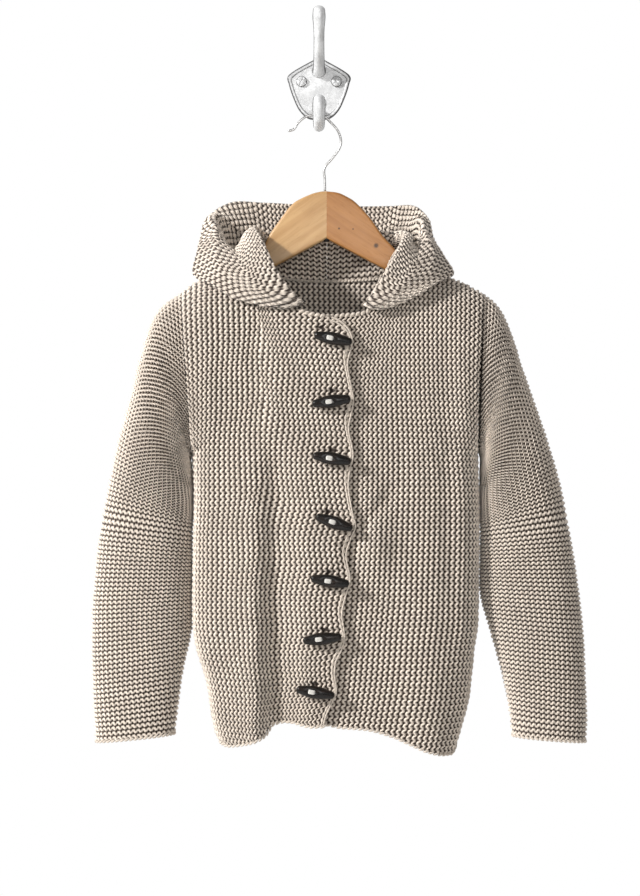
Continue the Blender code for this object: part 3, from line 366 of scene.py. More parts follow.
DISH_HALF_LENGTH, DISH_HALF_WIDTH = 6.3, 3.4
DISH_PLACES = [-3.0, -2.5, -2.5, -2.0, -2.0, -3.5, -3.5]
HOLE_SPACING = 3.0
DRILL_RADIUS, DRILL_DEPTH = 1.0, 1.4
SPINDLE_POWER = 1.3     # how soon the toggle grows slim towards its ends
BLUNT_FROM = 0.9        # share of half the toggle's length from which its ends round over
END_FACE = 0.25         # what is left of the radius at its very end
END_PACKING, TOP_PACKING = 0.45, 0.6    # how much closer its rings and sides stand at the ends and on top
THREAD_STRANDS = 6
THREAD_RADIUS = 0.42
THREAD_POINTS = 13
THREAD_SPACING = 1.75   # between strands, in radii
THREAD_WAIST = 0.2      # how much closer the strands come together at the holes
THREAD_FOOT, THREAD_ARCH, THREAD_CROWN = 0.9, 1.25, 0.04    # its start below the dish, rise, rounding
STRAND_WOBBLE, STRAND_STRAY, HOLE_PAST = 0.12, 0.1, 0.25    # how unevenly, how far past the holes it lies
SLOT_DEPTH = 0.7
SLOT_HALF_WIDTH, SLOT_REACH = 0.17, 0.75    # shares of the screw's radius

# -------- how finely the hard pieces are made
OUTLINE_STEPS = 6       # points between two rows of the hanger's table
MITRE_CLOSE, CUT_CLOSE = 0.01, 0.0005   # how near a point counts as on the mitre, in mm and in metres
BOARD_ROUND, BOARD_ROUND_STEPS = 2.6, 4
BOARD_CORNER, BOARD_SHARP = 60, 50      # degrees: corners that are rounded, and edges that stay crisp
NUT_SIDES, SCREW_SIDES, PRONG_SIDES, WIRE_SIDES, THREAD_SIDES, CORD_SIDES = 40, 48, 28, 14, 8, 8
TOGGLE_RINGS, TOGGLE_SIDES = 58, 36
PLATE_POINTS, PRONG_POINTS, WIRE_POINTS = 120, 60, 170
WIRE_TAPER = (0.95, 0.8, 0.5)
TIP_TURNS = (0.15, 1.45, 9)     # where the prong's round tip starts and ends, in radians, and its rings
TIP_LENGTH = 0.85       # of a prong's round tip, in radii
# How far out on a prong's left or right side its painted shade starts, and over what share it grows full.
RIM_SHADE_FROM, RIM_SHADE_OVER = 0.78, 0.2

# -------- finishes
Wood = namedtuple("Wood", "name pale dark slope knots")
Knot = namedtuple("Knot", "x drop radius")
# Both halves are one beech. The left is painted paler as painted light and the right darker and warmer as
# painted shade. Each half has its own grain slope, and the right one has knots.
WOODS = {
    "wood_light": Wood("pale lacquered beech", (0.49, 0.30, 0.132), (0.37, 0.20, 0.073), 35, ()),
    "wood_dark": Wood("warm lacquered beech", (0.37, 0.165, 0.046), (0.275, 0.11, 0.025), -33,
                      (Knot(52, 166, 3.4), Knot(15, 149, 1.5), Knot(29, 149.5, 1.2))),
}
Metal = namedtuple("Metal", "name pale dark roughness metallic scale grit distance")
METALS = {
    "wire": Metal("bright drawn wire", (0.62, 0.61, 0.60), (0.46, 0.45, 0.44), 0.26, 1.0, 120, 0.1, 0.0002),
    # The nut is near black as painted shade of the recess under the hanger's peak.
    "nut": Metal("blackened nut", (0.03, 0.028, 0.026), (0.015, 0.014, 0.013), 0.5, 0.6, 150, 0.2, 0.0003),
    "hook": Metal("pale cast metal", (0.74, 0.74, 0.74), (0.50, 0.50, 0.50), 0.40, 0.25, 60, 0.3, 0.0008),
    "screw": Metal("screw steel", (0.70, 0.70, 0.70), (0.50, 0.50, 0.50), 0.35, 0.35, 200, 0.2, 0.0003),
}
COTTON_SHEEN = {"Specular IOR Level": 0.2, "Sheen Weight": 0.18}
KNOT_CORE = 0.3         # share of a knot's radius that is fully dark

# -------- stage
FLOOR_RADIUS, FLOOR_HEIGHT, FLOOR_SIDES = 2.6, -1.45, 96
FLOOR_TONES = ((0.80, 0.80, 0.79), (0.84, 0.84, 0.83))
CAMERA_AWAY, CAMERA_LENS, CAMERA_SENSOR, CAMERA_REACH = 2.4, 96.4, 36.0, 50.0
AIM = (0.001, HANGER_PLANE * MM, -0.368)    # what the camera and the lights are turned to
WORLD_LIGHT = 1.0
KEY_SIDE = (-0.72, -0.50, 0.48)     # the room is brightest this way, seen from the garment
DIM_SIDE, BRIGHT_SIDE = 0.12, 0.42
SIDE_FADE = (-0.9, 0.9)             # from the dim side of the room to the bright one
BEHIND_FADE = (-0.05, 0.3)          # from the room in front to the white wall behind
Light = namedtuple("Light", "name spot size power")
LIGHTS = (
    Light("key light", (-4.9, -3.03, 2.23), 0.60, 575.0),
    Light("fill light", (0.3, -2.8, 0.1), 1.0, 16.0),
)


# -------- sizes that a user would change
class KnitSettings(bpy.types.PropertyGroup):
    """The garter stitch: its pitch, its relief and its yarn."""

    body_ridge: FloatProperty(
        name="Body ridge", description="Pitch of the garter ridges on body and hood",
        default=5.1 * MM, unit="LENGTH")
    body_stitch: FloatProperty(
        name="Body stitch", description="Length of a stitch along a body ridge",
        default=6.0 * MM, unit="LENGTH")
    sleeve_ridge: FloatProperty(
        name="Sleeve ridge", description="Pitch of the ridges across a sleeve",
        default=4.7 * MM, unit="LENGTH")
    sleeve_stitch: FloatProperty(
        name="Sleeve stitch", description="Length of a stitch along a sleeve's ridge",
        default=5.1 * MM, unit="LENGTH")
    hood_stitch: FloatProperty(
        name="Hood stitch", description="Length of a stitch along a hood's ridge",
        default=6.0 * MM, unit="LENGTH")
    relief: FloatProperty(
        name="Relief", description="Height of a ridge over the pits beside it",
        default=2.8 * MM, unit="LENGTH")
    wave: FloatProperty(
        name="Wave", description="How far a ridge swings to each side as it passes a stitch",
        default=1.5 * MM, unit="LENGTH")
    unevenness: FloatProperty(
        name="Unevenness", description="Hand-knit irregularity",
        default=0.5, min=0, max=1, subtype="FACTOR")
    seed: IntProperty(
        name="Seed", description="Fixes where the irregularities fall", default=7)
    yarn: FloatVectorProperty(
        name="Yarn", description="Colour of the cotton yarn",
        default=(0.76, 0.66, 0.56), min=0, max=1, subtype="COLOR")
    # Painted shadow: the near black that the knit material paints down in its pits and buttonholes in place
    # of their shade.
    painted_pit_shadow: FloatVectorProperty(
        name="Shade", description="Colour of the yarn down in the pits",
        default=(0.030, 0.018, 0.012), min=0, max=1, subtype="COLOR")


# -------- node trees
class Tree:
    """Adds nodes to a shader or geometry tree and links them, one call for each node."""

    def __init__(self, tree):
        self.tree = tree

    def add(self, kind, inputs=None, **settings):
        node = self.tree.nodes.new(kind)
        for key, value in settings.items():
            setattr(node, key, value)
        for key, value in (inputs or {}).items():
            self.put(node.inputs[key], value)
        return node

    def put(self, socket, value):
        if isinstance(value, bpy.types.NodeSocket):
            self.tree.links.new(value, socket)
        else:
            socket.default_value = value

    def math(self, operation, *values):
        node = self.add("ShaderNodeMath", operation=operation)
        for socket, value in zip(node.inputs, values):
            self.put(socket, value)
        return node.outputs[0]

    def vector(self, operation, first, second=None, scale=None):
        node = self.add("ShaderNodeVectorMath", operation=operation)
        self.put(node.inputs[0], first)
        if second is not None:
            self.put(node.inputs[1], second)
        if scale is not None:
            self.put(node.inputs["Scale"], scale)
        return node.outputs[0]

    def times(self, *values):
        """The product of two or more values, from the first on."""
        product = values[0]
        for value in values[1:]:
            product = self.math("MULTIPLY", product, value)
        return product

    def plus(self, first, second):
        return self.math("ADD", first, second)

    def minus(self, first, second):
        return self.math("SUBTRACT", first, second)

    def attribute(self, name, kind="FLOAT"):
        node = self.add("GeometryNodeInputNamedAttribute", {"Name": name}, data_type=kind)
        return node.outputs["Attribute"]

    def store(self, geometry, name, value):
        node = self.add("GeometryNodeStoreNamedAttribute", {"Geometry": geometry, "Name": name},
                        data_type="FLOAT", domain="POINT")
        self.put(node.inputs["Value"], value)
        return node.outputs["Geometry"]


def stitch_wave(tree, stitch):
    """-1 to 1 along a ridge: a long stroke one way and a short one back at each stitch."""
    turn = tree.times(stitch, 2 * math.pi)
    lag = tree.times(tree.math("SINE", turn), LONG_STROKE)
    return tree.math("SINE", tree.minus(turn, lag))


def off_the_crest(tree, ridge):
    """0 on a ridge's crest and 1 in the pits beside it."""
    return tree.times(tree.math("ABSOLUTE", tree.minus(tree.math("FRACT", ridge), 0.5)), 2.0)


def swell(tree, turn):
    """0 to 1 and back as the angle turns, highest where it is 0."""
    return tree.math("MULTIPLY_ADD", tree.math("COSINE", turn), 0.5, 0.5)


def past(tree, phase, at):
    """How far the phase is past this part of the stitch, as an angle."""
    return tree.times(tree.minus(phase, at), 2 * math.pi)


def open_tree(name, **inputs):
    """A geometry tree with these inputs, each named with its kind, and its input and output nodes."""
    group = bpy.data.node_groups.new(name, "GeometryNodeTree")
    group.interface.new_socket("Geometry", in_out="INPUT", socket_type="NodeSocketGeometry")
    for socket_name, kind in inputs.items():
        group.interface.new_socket(socket_name.replace("_", " "), in_out="INPUT",
                                   socket_type="NodeSocket" + kind)
    group.interface.new_socket("Geometry", in_out="OUTPUT", socket_type="NodeSocketGeometry")
    tree = Tree(group)
    return tree, tree.add("NodeGroupInput").outputs, tree.add("NodeGroupOutput")


def close_tree(tree, given, end, geometry):
    """Ends a tree with realised instances and the material."""
    real = tree.add("GeometryNodeRealizeInstances", {"Geometry": geometry}).outputs[0]
    finished = tree.add("GeometryNodeSetMaterial", {"Geometry": real, "Material": given["Material"]})
    tree.put(end.inputs[0], finished.outputs[0])


def relief_tree():
    """Raises garter ridges, stitch by stitch, on a grid that knows its ridge and stitch numbers."""
    tree, given, end = open_tree("garter relief", Relief="Float", Wave="Float", Unevenness="Float",
                                 Seed="Int", Material="Material")
    ridge, stitch = tree.attribute("ridge"), tree.attribute("stitch")
    across, out = tree.attribute("across", "FLOAT_VECTOR"), tree.attribute("out", "FLOAT_VECTOR")
    place_of = tree.add("GeometryNodeInputPosition").outputs[0]
    chance = tree.add("ShaderNodeTexWhiteNoise", {"W": tree.plus(tree.math("FLOOR", ridge), given["Seed"])},
                      noise_dimensions="1D").outputs["Value"]

    def uneven(scale, detail):
        cloud = tree.add("ShaderNodeTexNoise", {
            "Vector": place_of, "Scale": scale, "Detail": detail, "W": given["Seed"],
        }, noise_dimensions="4D").outputs[0]
        return tree.minus(cloud, 0.5)

    drift, grain = uneven(DRIFT_SCALE, 1.0), uneven(STITCH_NOISE_SCALE, 0.0)
    jitter = tree.plus(tree.times(tree.minus(chance, 0.5), RIDGE_JITTER), tree.times(drift, DRIFT_JITTER))
    phase = tree.plus(stitch, tree.times(jitter, given["Unevenness"]))
    swing = stitch_wave(tree, phase)
    off_crest = off_the_crest(tree, ridge)
    deep = tree.times(off_crest, off_crest)
    cord = tree.math("POWER", swell(tree, tree.times(off_crest, math.pi)), CORD_ROUNDNESS)
    knuckle = tree.math("COSINE", past(tree, phase, KNUCKLE_AT))
    leg = tree.math("POWER", swell(tree, past(tree, phase, LEG_AT)), LEG_BREADTH)
    height = tree.times(cord, tree.math("MULTIPLY_ADD", knuckle, KNUCKLE_SHARE, 1.0))
    height = tree.plus(height, tree.times(deep, leg, LEG_SHARE))
    height = tree.plus(height, tree.times(grain, GRAIN_SHARE, given["Unevenness"]))
    height = tree.minus(height, tree.times(tree.attribute("edge"), EDGE_SINK))
    height = tree.minus(height, tree.attribute("hole"))
    knitted = tree.minus(1.0, tree.attribute("plain"))
    rise = tree.times(tree.minus(height, CREST_OVER), given["Relief"], knitted)
    free = tree.times(tree.minus(1.0, tree.times(deep, PIT_HOLD)), knitted)
    held = tree.minus(1.0, tree.math("ABSOLUTE", tree.attribute("edge")))
    shift = tree.times(swing, given["Wave"], free, held)
    offset = tree.vector("ADD", tree.vector("SCALE", across, scale=shift),
                         tree.vector("SCALE", out, scale=rise))
    moved = tree.add("GeometryNodeSetPosition", {"Geometry": given["Geometry"], "Offset": offset})
    close_tree(tree, given, end, tree.store(moved.outputs[0], "phase", phase))


def realised(obj, tree_name, values):
    """Runs a geometry tree on an object with these named inputs, and returns the result as a plain mesh."""
    group = bpy.data.node_groups[tree_name]
    modifier = obj.modifiers.new(tree_name, "NODES")
    modifier.node_group = group
    for item in group.interface.items_tree:
        if item.item_type == "SOCKET" and item.in_out == "INPUT" and item.name in values:
            modifier[item.identifier] = values[item.name]
    graph = bpy.context.evaluated_depsgraph_get()
    mesh = bpy.data.meshes.new_from_object(obj.evaluated_get(graph), depsgraph=graph)
    obj.modifiers.remove(modifier)
    return mesh


def add_object(name, data):
    """A new object in the scene, at the origin."""
    obj = bpy.data.objects.new(name, data)
    bpy.context.scene.collection.objects.link(obj)
    return obj


# -------- knitted meshes
class Cloth:
    """Gathers the grids of one knitted piece, zips their borders and makes one closed mesh of them."""

    FACTS = ("ridge", "stitch", "plain", "edge", "hole")

    def __init__(self):
        self.points, self.across, self.out = [], [], []
        self.facts = {name: [] for name in self.FACTS}
        self.faces, self.corners = [], []
        self.count = 0

    def add_grid(self, points, ridge, stitch, ridges_along_rows, wrap=False, flip=False, plain=0.0,
                 edge=0.0, hole=0.0, normals=None):
        """A grid of points with its knitting numbers. A wrapped grid repeats its first column at the end."""
        if normals is None:
            normals = grid_normals(points, wrap) * (-1 if flip else 1)
        across = np.gradient(points, axis=0 if ridges_along_rows else 1)
        along = np.gradient(points, axis=1 if ridges_along_rows else 0)
        along = units(along)
        across = units(across - (across * along).sum(axis=-1, keepdims=True) * along)
        rows, columns = points.shape[:2]
        kept = columns - 1 if wrap else columns
        index = self.count + np.arange(rows * kept).reshape(rows, kept)
        if wrap:
            index = np.concatenate([index, index[:, :1]], axis=1)
        self.points.append(points[:, :kept].reshape(-1, 3))
        self.across.append(across[:, :kept].reshape(-1, 3))
        self.out.append(normals[:, :kept].reshape(-1, 3))
        for name, values in zip(self.FACTS, (ridge, stitch, plain, edge, hole)):
            values = np.broadcast_to(np.asarray(values, float), (rows, columns))
            self.facts[name].append(values[:, :kept].ravel())
        quads = quad_corners(index).reshape(-1, 4)
        both = [np.broadcast_to(values, (rows, columns)) for values in (ridge, stitch)]
        uv = quad_corners(np.stack(both, axis=-1)).reshape(-1, 4, 2)
        if flip:
            quads, uv = quads[:, ::-1], uv[:, ::-1]
        self.faces.append(quads)
        self.corners.append(uv)
        self.count += rows * kept
        return index

    def zip(self, first, second):
        """Triangles between two border lines that run side by side, whatever their counts."""
        made = []
        i = j = 0
        while i < len(first) - 1 or j < len(second) - 1:
            ahead = (i + 1) / (len(first) - 1), (j + 1) / (len(second) - 1)
            if j == len(second) - 1 or (i < len(first) - 1 and ahead[0] <= ahead[1]):
                made.append((first[i], first[i + 1], second[j]))
                i += 1
            else:
                made.append((first[i], second[j + 1], second[j]))
                j += 1
        self.faces.append(np.array(made))
        self.corners.append(None)

    def join_borders(self, outer, inner):
        """Closes the wall between an outer and an inner grid all round."""
        self.zip(outer[0][::-1], inner[0][::-1])
        self.zip(outer[-1], inner[-1])
        self.zip(outer[:, 0], inner[:, 0])
        self.zip(outer[::-1, -1], inner[::-1, -1])

    def build(self, name):
        """One mesh object of all that was added, with its knitting numbers and its UV map."""
        points = np.concatenate(self.points)
        facts = {key: np.concatenate(values) for key, values in self.facts.items()}
        both = np.stack([facts["ridge"], facts["stitch"]], axis=-1)
        loops = np.concatenate([faces.ravel() for faces in self.faces])
        sizes = np.concatenate([np.full(len(faces), faces.shape[1]) for faces in self.faces])
        uv = np.concatenate([
            both[faces.ravel()] if corners is None else corners.reshape(-1, 2)
            for faces, corners in zip(self.faces, self.corners)
        ])
        mesh = bpy.data.meshes.new(name)
        mesh.vertices.add(len(points))
        mesh.vertices.foreach_set("co", points.ravel())
        mesh.loops.add(len(loops))
        mesh.loops.foreach_set("vertex_index", loops.astype(np.int32))
        mesh.polygons.add(len(sizes))
        starts = np.concatenate([[0], np.cumsum(sizes)[:-1]])
        mesh.polygons.foreach_set("loop_start", starts.astype(np.int32))
        mesh.update(calc_edges=True)
        mesh.uv_layers.new(name="knit").data.foreach_set("uv", uv.ravel())
        for key, values in facts.items():
            mesh.attributes.new(key, "FLOAT", "POINT").data.foreach_set("value", values)
        for key, values in (("across", self.across), ("out", self.out)):
            vectors = np.concatenate(values).ravel()
            mesh.attributes.new(key, "FLOAT_VECTOR", "POINT").data.foreach_set("vector", vectors)
        mesh.shade_smooth()
        return add_object(name, mesh)


def quad_corners(grid):
    """The four corner values of each square between a grid's rows and columns."""
    return np.stack([grid[:-1, :-1], grid[:-1, 1:], grid[1:, 1:], grid[1:, :-1]], axis=2)


def grid_normals(points, wrap=False):
    """Unit normals of a grid of points: the way across its columns crossed with the way down its rows."""
    across = np.gradient(points, axis=1)
    if wrap:
        turn = points[:, 1] - points[:, -2]
        across[:, 0] = across[:, -1] = turn / 2
    return units(np.cross(across, np.gradient(points, axis=0)))


def units(vectors):
    """A grid's vectors, each made 1 long."""
    return vectors / np.maximum(np.linalg.norm(vectors, axis=-1, keepdims=True), 1e-12)


def lengths(points, axis):
    """Length along a grid's lines from their start."""
    steps = np.linalg.norm(np.diff(points, axis=axis), axis=-1)
    start = np.zeros_like(np.take(steps, [0], axis=axis))
    return np.concatenate([start, np.cumsum(steps, axis=axis)], axis=axis)


def evened(values, travelled, shares):
    """For each row, the values at equal shares of the length travelled."""
    return np.array([np.interp(shares * far[-1], far, value) for value, far in zip(values, travelled)])


def calmed(values, reach):
    """Rows averaged twice with their neighbours, so that ridges bend gently from row to row."""
    for _ in range(2):
        values = window_mean(np.pad(values, ((reach, reach), (0, 0)), "edge"), reach)
    return values


def window_mean(padded, reach):
    """Averages over so many rows each way, of rows that are padded by as many at both ends."""
    total = np.cumsum(np.concatenate([0 * padded[:1], padded]), axis=0)
    return (total[2 * reach + 1:] - total[:-2 * reach - 1]) / (2 * reach + 1)


def level_stitches(points, size):
    """Stitch numbers up each column of a grid, all counted from one level line."""
    climbed = lengths(points, 0)
    heights = points[..., 2] / MM
    start = [np.interp(-LEVEL_DROP, height, far) for height, far in zip(heights.T, climbed.T)]
    return (climbed - np.array(start)) / size


def ridge_columns(count):
    """Places across a piece: the pits at whole numbers, with each ridge's flanks and crest between."""
    return np.append((np.arange(count)[:, None] + np.array(RIDGE_PROFILE)).ravel(), float(count))


def knit(obj, settings, wave=1.0, relief=1.0):
    """Raises the stitches on a finished cloth mesh."""
    plain = obj.data
    mesh = realised(obj, "garter relief", {
        "Relief": settings.relief * relief, "Wave": settings.wave * wave,
        "Unevenness": settings.unevenness, "Seed": settings.seed, "Material": MATERIALS["knit"],
    })
    obj.data = mesh
    bpy.data.meshes.remove(plain)
    mesh.name = obj.name
    return obj


# -------- curves
def smooth(keys, values, at):
    """Values of a smooth curve through a table, without overshoot."""
    order = np.argsort(keys)
    x = np.asarray(keys, float)[order]
    y = np.asarray(values, float)[order]
    step = np.diff(x)
    rise = np.diff(y) / step
    slope = np.empty_like(y)
    slope[0], slope[-1] = rise[0], rise[-1]
    flat = rise[:-1] * rise[1:] <= 0
    mean = 2 * rise[:-1] * rise[1:] / np.where(flat, 1, rise[:-1] + rise[1:])
    slope[1:-1] = np.where(flat, 0, mean)
    at = np.clip(np.asarray(at, float), x[0], x[-1])
    i = np.clip(np.searchsorted(x, at) - 1, 0, len(x) - 2)
    return between(y, slope, step, i, (at - x[i]) / step[i])


def between(values, slope, step, i, t):
    """A share t of the way from value i to the next, on a cubic with these slopes at both."""
    return (
        values[i] * (1 + 2 * t) * (1 - t) ** 2 + values[i + 1] * t * t * (3 - 2 * t)
        + step[i] * (slope[i] * t * (1 - t) ** 2 - slope[i + 1] * t * t * (1 - t))
    )


def eased(share):
    """A share from 0 to 1 with a soft start and a soft end."""
    return share * share * (3 - 2 * share)


def through(points, at):
    """Points of a Catmull-Rom curve through the given ones, for at from 0 to their last number."""
    points = np.asarray(points, float)
    padded = np.concatenate([[2 * points[0] - points[1]], points, [2 * points[-1] - points[-2]]])
    at = np.clip(np.asarray(at, float), 0, len(points) - 1)
    i = np.minimum(at.astype(int), len(points) - 2)
    t = (at - i).reshape(at.shape + (1,) * (points.ndim - 1))
    a, b, c, d = padded[i], padded[i + 1], padded[i + 2], padded[i + 3]
    square, cube = 2 * a - 5 * b + 4 * c - d, 3 * b - a - 3 * c + d
    return 0.5 * (2 * b + (c - a) * t + square * t ** 2 + cube * t ** 3)


def along_section(points, at):
    """Points of a curve through the given ones that allows for their uneven spacing."""
    points = np.asarray(points, float)
    span = np.maximum(np.linalg.norm(np.diff(points, axis=0), axis=1), 1e-6)[:, None]
    rate = np.diff(points, axis=0) / span
    slope = np.empty_like(points)
    slope[0], slope[-1] = rate[0], rate[-1]
    slope[1:-1] = (rate[1:] * span[:-1] + rate[:-1] * span[1:]) / (span[:-1] + span[1:])
    at = np.clip(np.asarray(at, float), 0, len(points) - 1)
    i = np.minimum(at.astype(int), len(points) - 2)
    return between(points, slope, span, i, (at - i)[:, None])


def column(table, name):
    return [getattr(row, name) for row in table]


def line_at(table, x):
    return smooth(column(table, "x"), column(table, "drop"), x)


def edge_at(table, drop):
    return smooth(column(table, "drop"), column(table, "x"), drop)


def place(x, drop, depth):
    """Metres in the part's frame from the tables' millimetres."""
    return np.stack([x + HANGER_X, HANGER_PLANE + depth, -drop], axis=-1) * MM


def placed(points):
    """The same for points that hold x, drop and depth."""
    return place(*np.moveaxis(points, -1, 0))


# -------- body
TOP_FRONT = SHOULDER_LEFT + NECK_FRONT + SHOULDER_RIGHT
TOP_OF_UPPER = SHOULDER_LEFT + NECK_TOP_FRONT
TOP_BACK = SHOULDER_LEFT + NECK_BACK + SHOULDER_RIGHT
RIDGE = SHOULDER_LEFT + RIDGE_OVER_NECK + SHOULDER_RIGHT


def edge_drop(edge, v):
    """Drop along a body edge, from its foot (v = 0) to its top (v = 1)."""
    return edge[0].drop + v * (edge[-1].drop - edge[0].drop)


def armhole_half_depth(drop):
    middle, half = (SHOULDER_DROP + UNDERARM_DROP) / 2, (UNDERARM_DROP - SHOULDER_DROP) / 2
    along = np.clip(np.abs(drop - middle) / half, 0, 1)
    return ARMHOLE_DEPTH * (1 - along ** ARMHOLE_POWER) ** (1 / ARMHOLE_POWER)


def fading_arm(arm, drop):
    """The armhole's half depth as it reaches into the body, where it fades below its middle."""
    fade = np.clip((drop - ARM_FADE_FROM) / (ARM_FADE_TO - ARM_FADE_FROM), 0, 1)
    return np.where(drop < ARM_FADE_FROM, arm, ARMHOLE_DEPTH * (1 - eased(fade)))


def fold_height(folds, x, drop):
    total = np.zeros_like(x, dtype=float)
    for fold in folds:
        along = np.clip((drop - fold.drop_top) / (fold.drop_foot - fold.drop_top), 0, 1)
        run_in = np.clip((drop - fold.drop_top) / FOLD_RUN_IN + 1, 0, 1)
        run_out = np.clip((fold.drop_foot - drop) / FOLD_RUN_OUT + 1, 0, 1)
        middle = fold.x_top + along * (fold.x_foot - fold.x_top)
        height = fold.height_top + along * (fold.height_foot - fold.height_top)
        total += height * eased(run_in) * eased(run_out) * np.exp(-((x - middle) / fold.width) ** 2)
    return total


def middle_depth(x, drop, front):
    """Depth of the body away from its sides, which rounds over at the top, and how near the top it is."""
    full = smooth(column(BODY_DEPTH, "drop"), column(BODY_DEPTH, "front" if front else "back"), drop)
    near_top = np.clip((drop - line_at(RIDGE, x)) / SHOULDER_ROUND, 0, 1)
    return full * np.sqrt(1 - (1 - near_top) ** 2), near_top


def body_depth(x, drop, v, front):
    """Depth of the body's outer surface from the hanger's plane, without its sign."""
    left = edge_at(LEFT_EDGE, edge_drop(LEFT_EDGE, v))
    right = edge_at(RIGHT_EDGE, edge_drop(RIGHT_EDGE, v))
    across = np.clip(np.abs((2 * x - left - right) / (right - left)), 0, 1)
    side = (1 - across ** SIDE_POWER) ** (1 / SIDE_POWER)
    inside, near_top = middle_depth(x, drop, front)
    arm_drop = np.where(2 * x < left + right, edge_drop(LEFT_EDGE, v), edge_drop(RIGHT_EDGE, v))
    arm = armhole_half_depth(arm_drop)
    soft = fading_arm(arm, arm_drop)
    arm = soft + (arm - soft) * across ** ARM_EDGE_POWER
    folds = fold_height(FRONT_FOLDS if front else BACK_FOLDS, x, drop)
    return arm + (inside - arm) * side + folds * side ** 2 * np.clip(near_top * FOLD_FULL_AT, 0, 1)


def panel(left_edge, right_edge, hem, top, t, v, front, lift=0.0):
    """Outer points of a body panel, t from its left edge to its right one and v from hem to top."""
    x = left_edge(v) * (1 - t) + right_edge(v) * t
    low = line_at(hem, left_edge(0 * v) * (1 - t) + right_edge(0 * v) * t)
    high = line_at(top, left_edge(0 * v + 1) * (1 - t) + right_edge(0 * v + 1) * t)
    drop = low + v * (high - low)
    depth = body_depth(x, drop, v, front) + lift_at(lift, x)
    return place(x, drop, -depth if front else depth)


def lift_at(lift, x):
    """The top front rises over the under one as it nears the placket."""
    return lift * eased(np.clip((x - LIFT_FROM) / (LIFT_FULL - LIFT_FROM), 0, 1))


def left_side(v):
    return edge_at(LEFT_EDGE, edge_drop(LEFT_EDGE, v))


def right_side(v):
    return edge_at(RIGHT_EDGE, edge_drop(RIGHT_EDGE, v))


def placket_side(v):
    return edge_at(PLACKET, edge_drop(PLACKET, v))


def underlap_side(v):
    return smooth([0, 1], [x - UNDERLAP for x in UNDERLAP_FROM], v)


def top_front_points(t, v):
    return panel(left_side, placket_side, HEM_LEFT_FRONT, TOP_OF_UPPER, t, v, True, PLACKET_STEP)


def under_front_points(t, v):
    return panel(underlap_side, right_side, HEM_RIGHT_FRONT, TOP_FRONT, t, v, True)


def back_points(t, v):
    return panel(left_side, right_side, HEM_BACK, TOP_BACK, t, v, False)


# -------- sleeves
def sleeve_points(rings, u, angle):
    """Points of a sleeve, u from armhole (0) to cuff (1) and angle round it."""
    row = through(rings, u * (len(rings) - 1))
    out_x, out_drop, in_x, in_drop, half_depth, back = np.moveaxis(row, -1, 0)
    side, front = (
        np.sign(way) * np.abs(way) ** (2 / SLEEVE_POWER) for way in (np.cos(angle), np.sin(angle))
    )
    x = (out_x + in_x) / 2 + (out_x - in_x) / 2 * side
    drop = (out_drop + in_drop) / 2 + (out_drop - in_drop) / 2 * side
    return place(x, drop, back - half_depth * front)


# -------- hood
def neck_point(x, front):
    """The middle of a body panel's wall at its neck edge, and the way out of the panel there."""
    before, drop, after = line_at(TOP_FRONT if front else TOP_BACK, np.array([x - 1, x, x + 1]))
    depth = max(middle_depth(x, drop, front)[0] - CLOTH / 2, 0)
    return np.array([x, drop, -depth if front else depth]), unit(np.array([(after - before) / 2, -1.0, 0.0]))


def unit(vector):
    return vector / max(np.linalg.norm(vector), 1e-6)


def fold_round(before, tip, after, outward, radius):
    """Three points that carry a section round a fold at its tip, or along it where it runs on."""
    radius = min(radius, *(FOLD_REACH * np.linalg.norm(tip - end) for end in (before, after)))
    back, on = unit(before - tip), unit(after - tip)
    up = unit(tip - (before + after) / 2)
    over = unit(outward - np.dot(outward, up) * up)
    open_share = np.clip((np.linalg.norm(on - back) / 2 - OPEN_FROM) / OPEN_OVER, 0, 1)
    first = (1 - open_share) * -(up + over) + open_share * back
    last = (1 - open_share) * (over - up) + open_share * on
    return [tip + radius * first, tip, tip + radius * last]


def hood_section(row, outward):
    """Control points of one section, from the neck seam over its folds to the rim."""
    seam, out = neck_point(row.seam_x, row.a > NECK_SIDE)
    roll, pocket, crest, rim = np.array(row[2:], float).reshape(4, 3)
    seam = seam + out * NECK_CLEARANCE
    stand = seam + out * STAND_SHARE * np.linalg.norm(roll - seam)
    return np.array([
        seam, stand,
        *fold_round(stand, roll, pocket, outward, FOLD_RADIUS["roll"]),
        *fold_round(roll, pocket, crest, outward, FOLD_RADIUS["pocket"]),
        *fold_round(pocket, crest, rim, outward, FOLD_RADIUS["crest"]),
        rim,
    ])


def hood_sections(rows, a):
    """Control points of the sections at a, from the back (0) to the front (1) of the neck."""
    seams = np.array([neck_point(row.seam_x, row.a > NECK_SIDE)[0] for row in rows])
    along = np.gradient(seams, axis=0)
    way = np.sign(rows[-1].seam_x - rows[0].seam_x)
    outward = np.stack([-along[:, 2], 0 * along[:, 0], along[:, 0]], axis=1) * way
    table = np.array([hood_section(row, unit(out)) for row, out in zip(rows, outward)])
    return through(table, smooth(column(rows, "a"), np.arange(len(rows)), a))


# -------- knitted pieces
MATERIALS = {}


def declare(obj, slot, *nodes):
    """Rides the piece on the body, and hides the solids that it stands for, if any. Its finish, slot, is not
    used.
    """
    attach(obj, "root")
    if nodes:
        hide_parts(*nodes)
    return obj


def panel_edges(rows, columns, seams):
    """1 at the first and last row, where the knitting rounds over, and -1 at seams, where it holds."""
    edge = np.zeros((rows, columns))
    edge[0] = edge[-1] = 1.0
    for side in seams:
        edge[:, side] = -1.0
    return edge


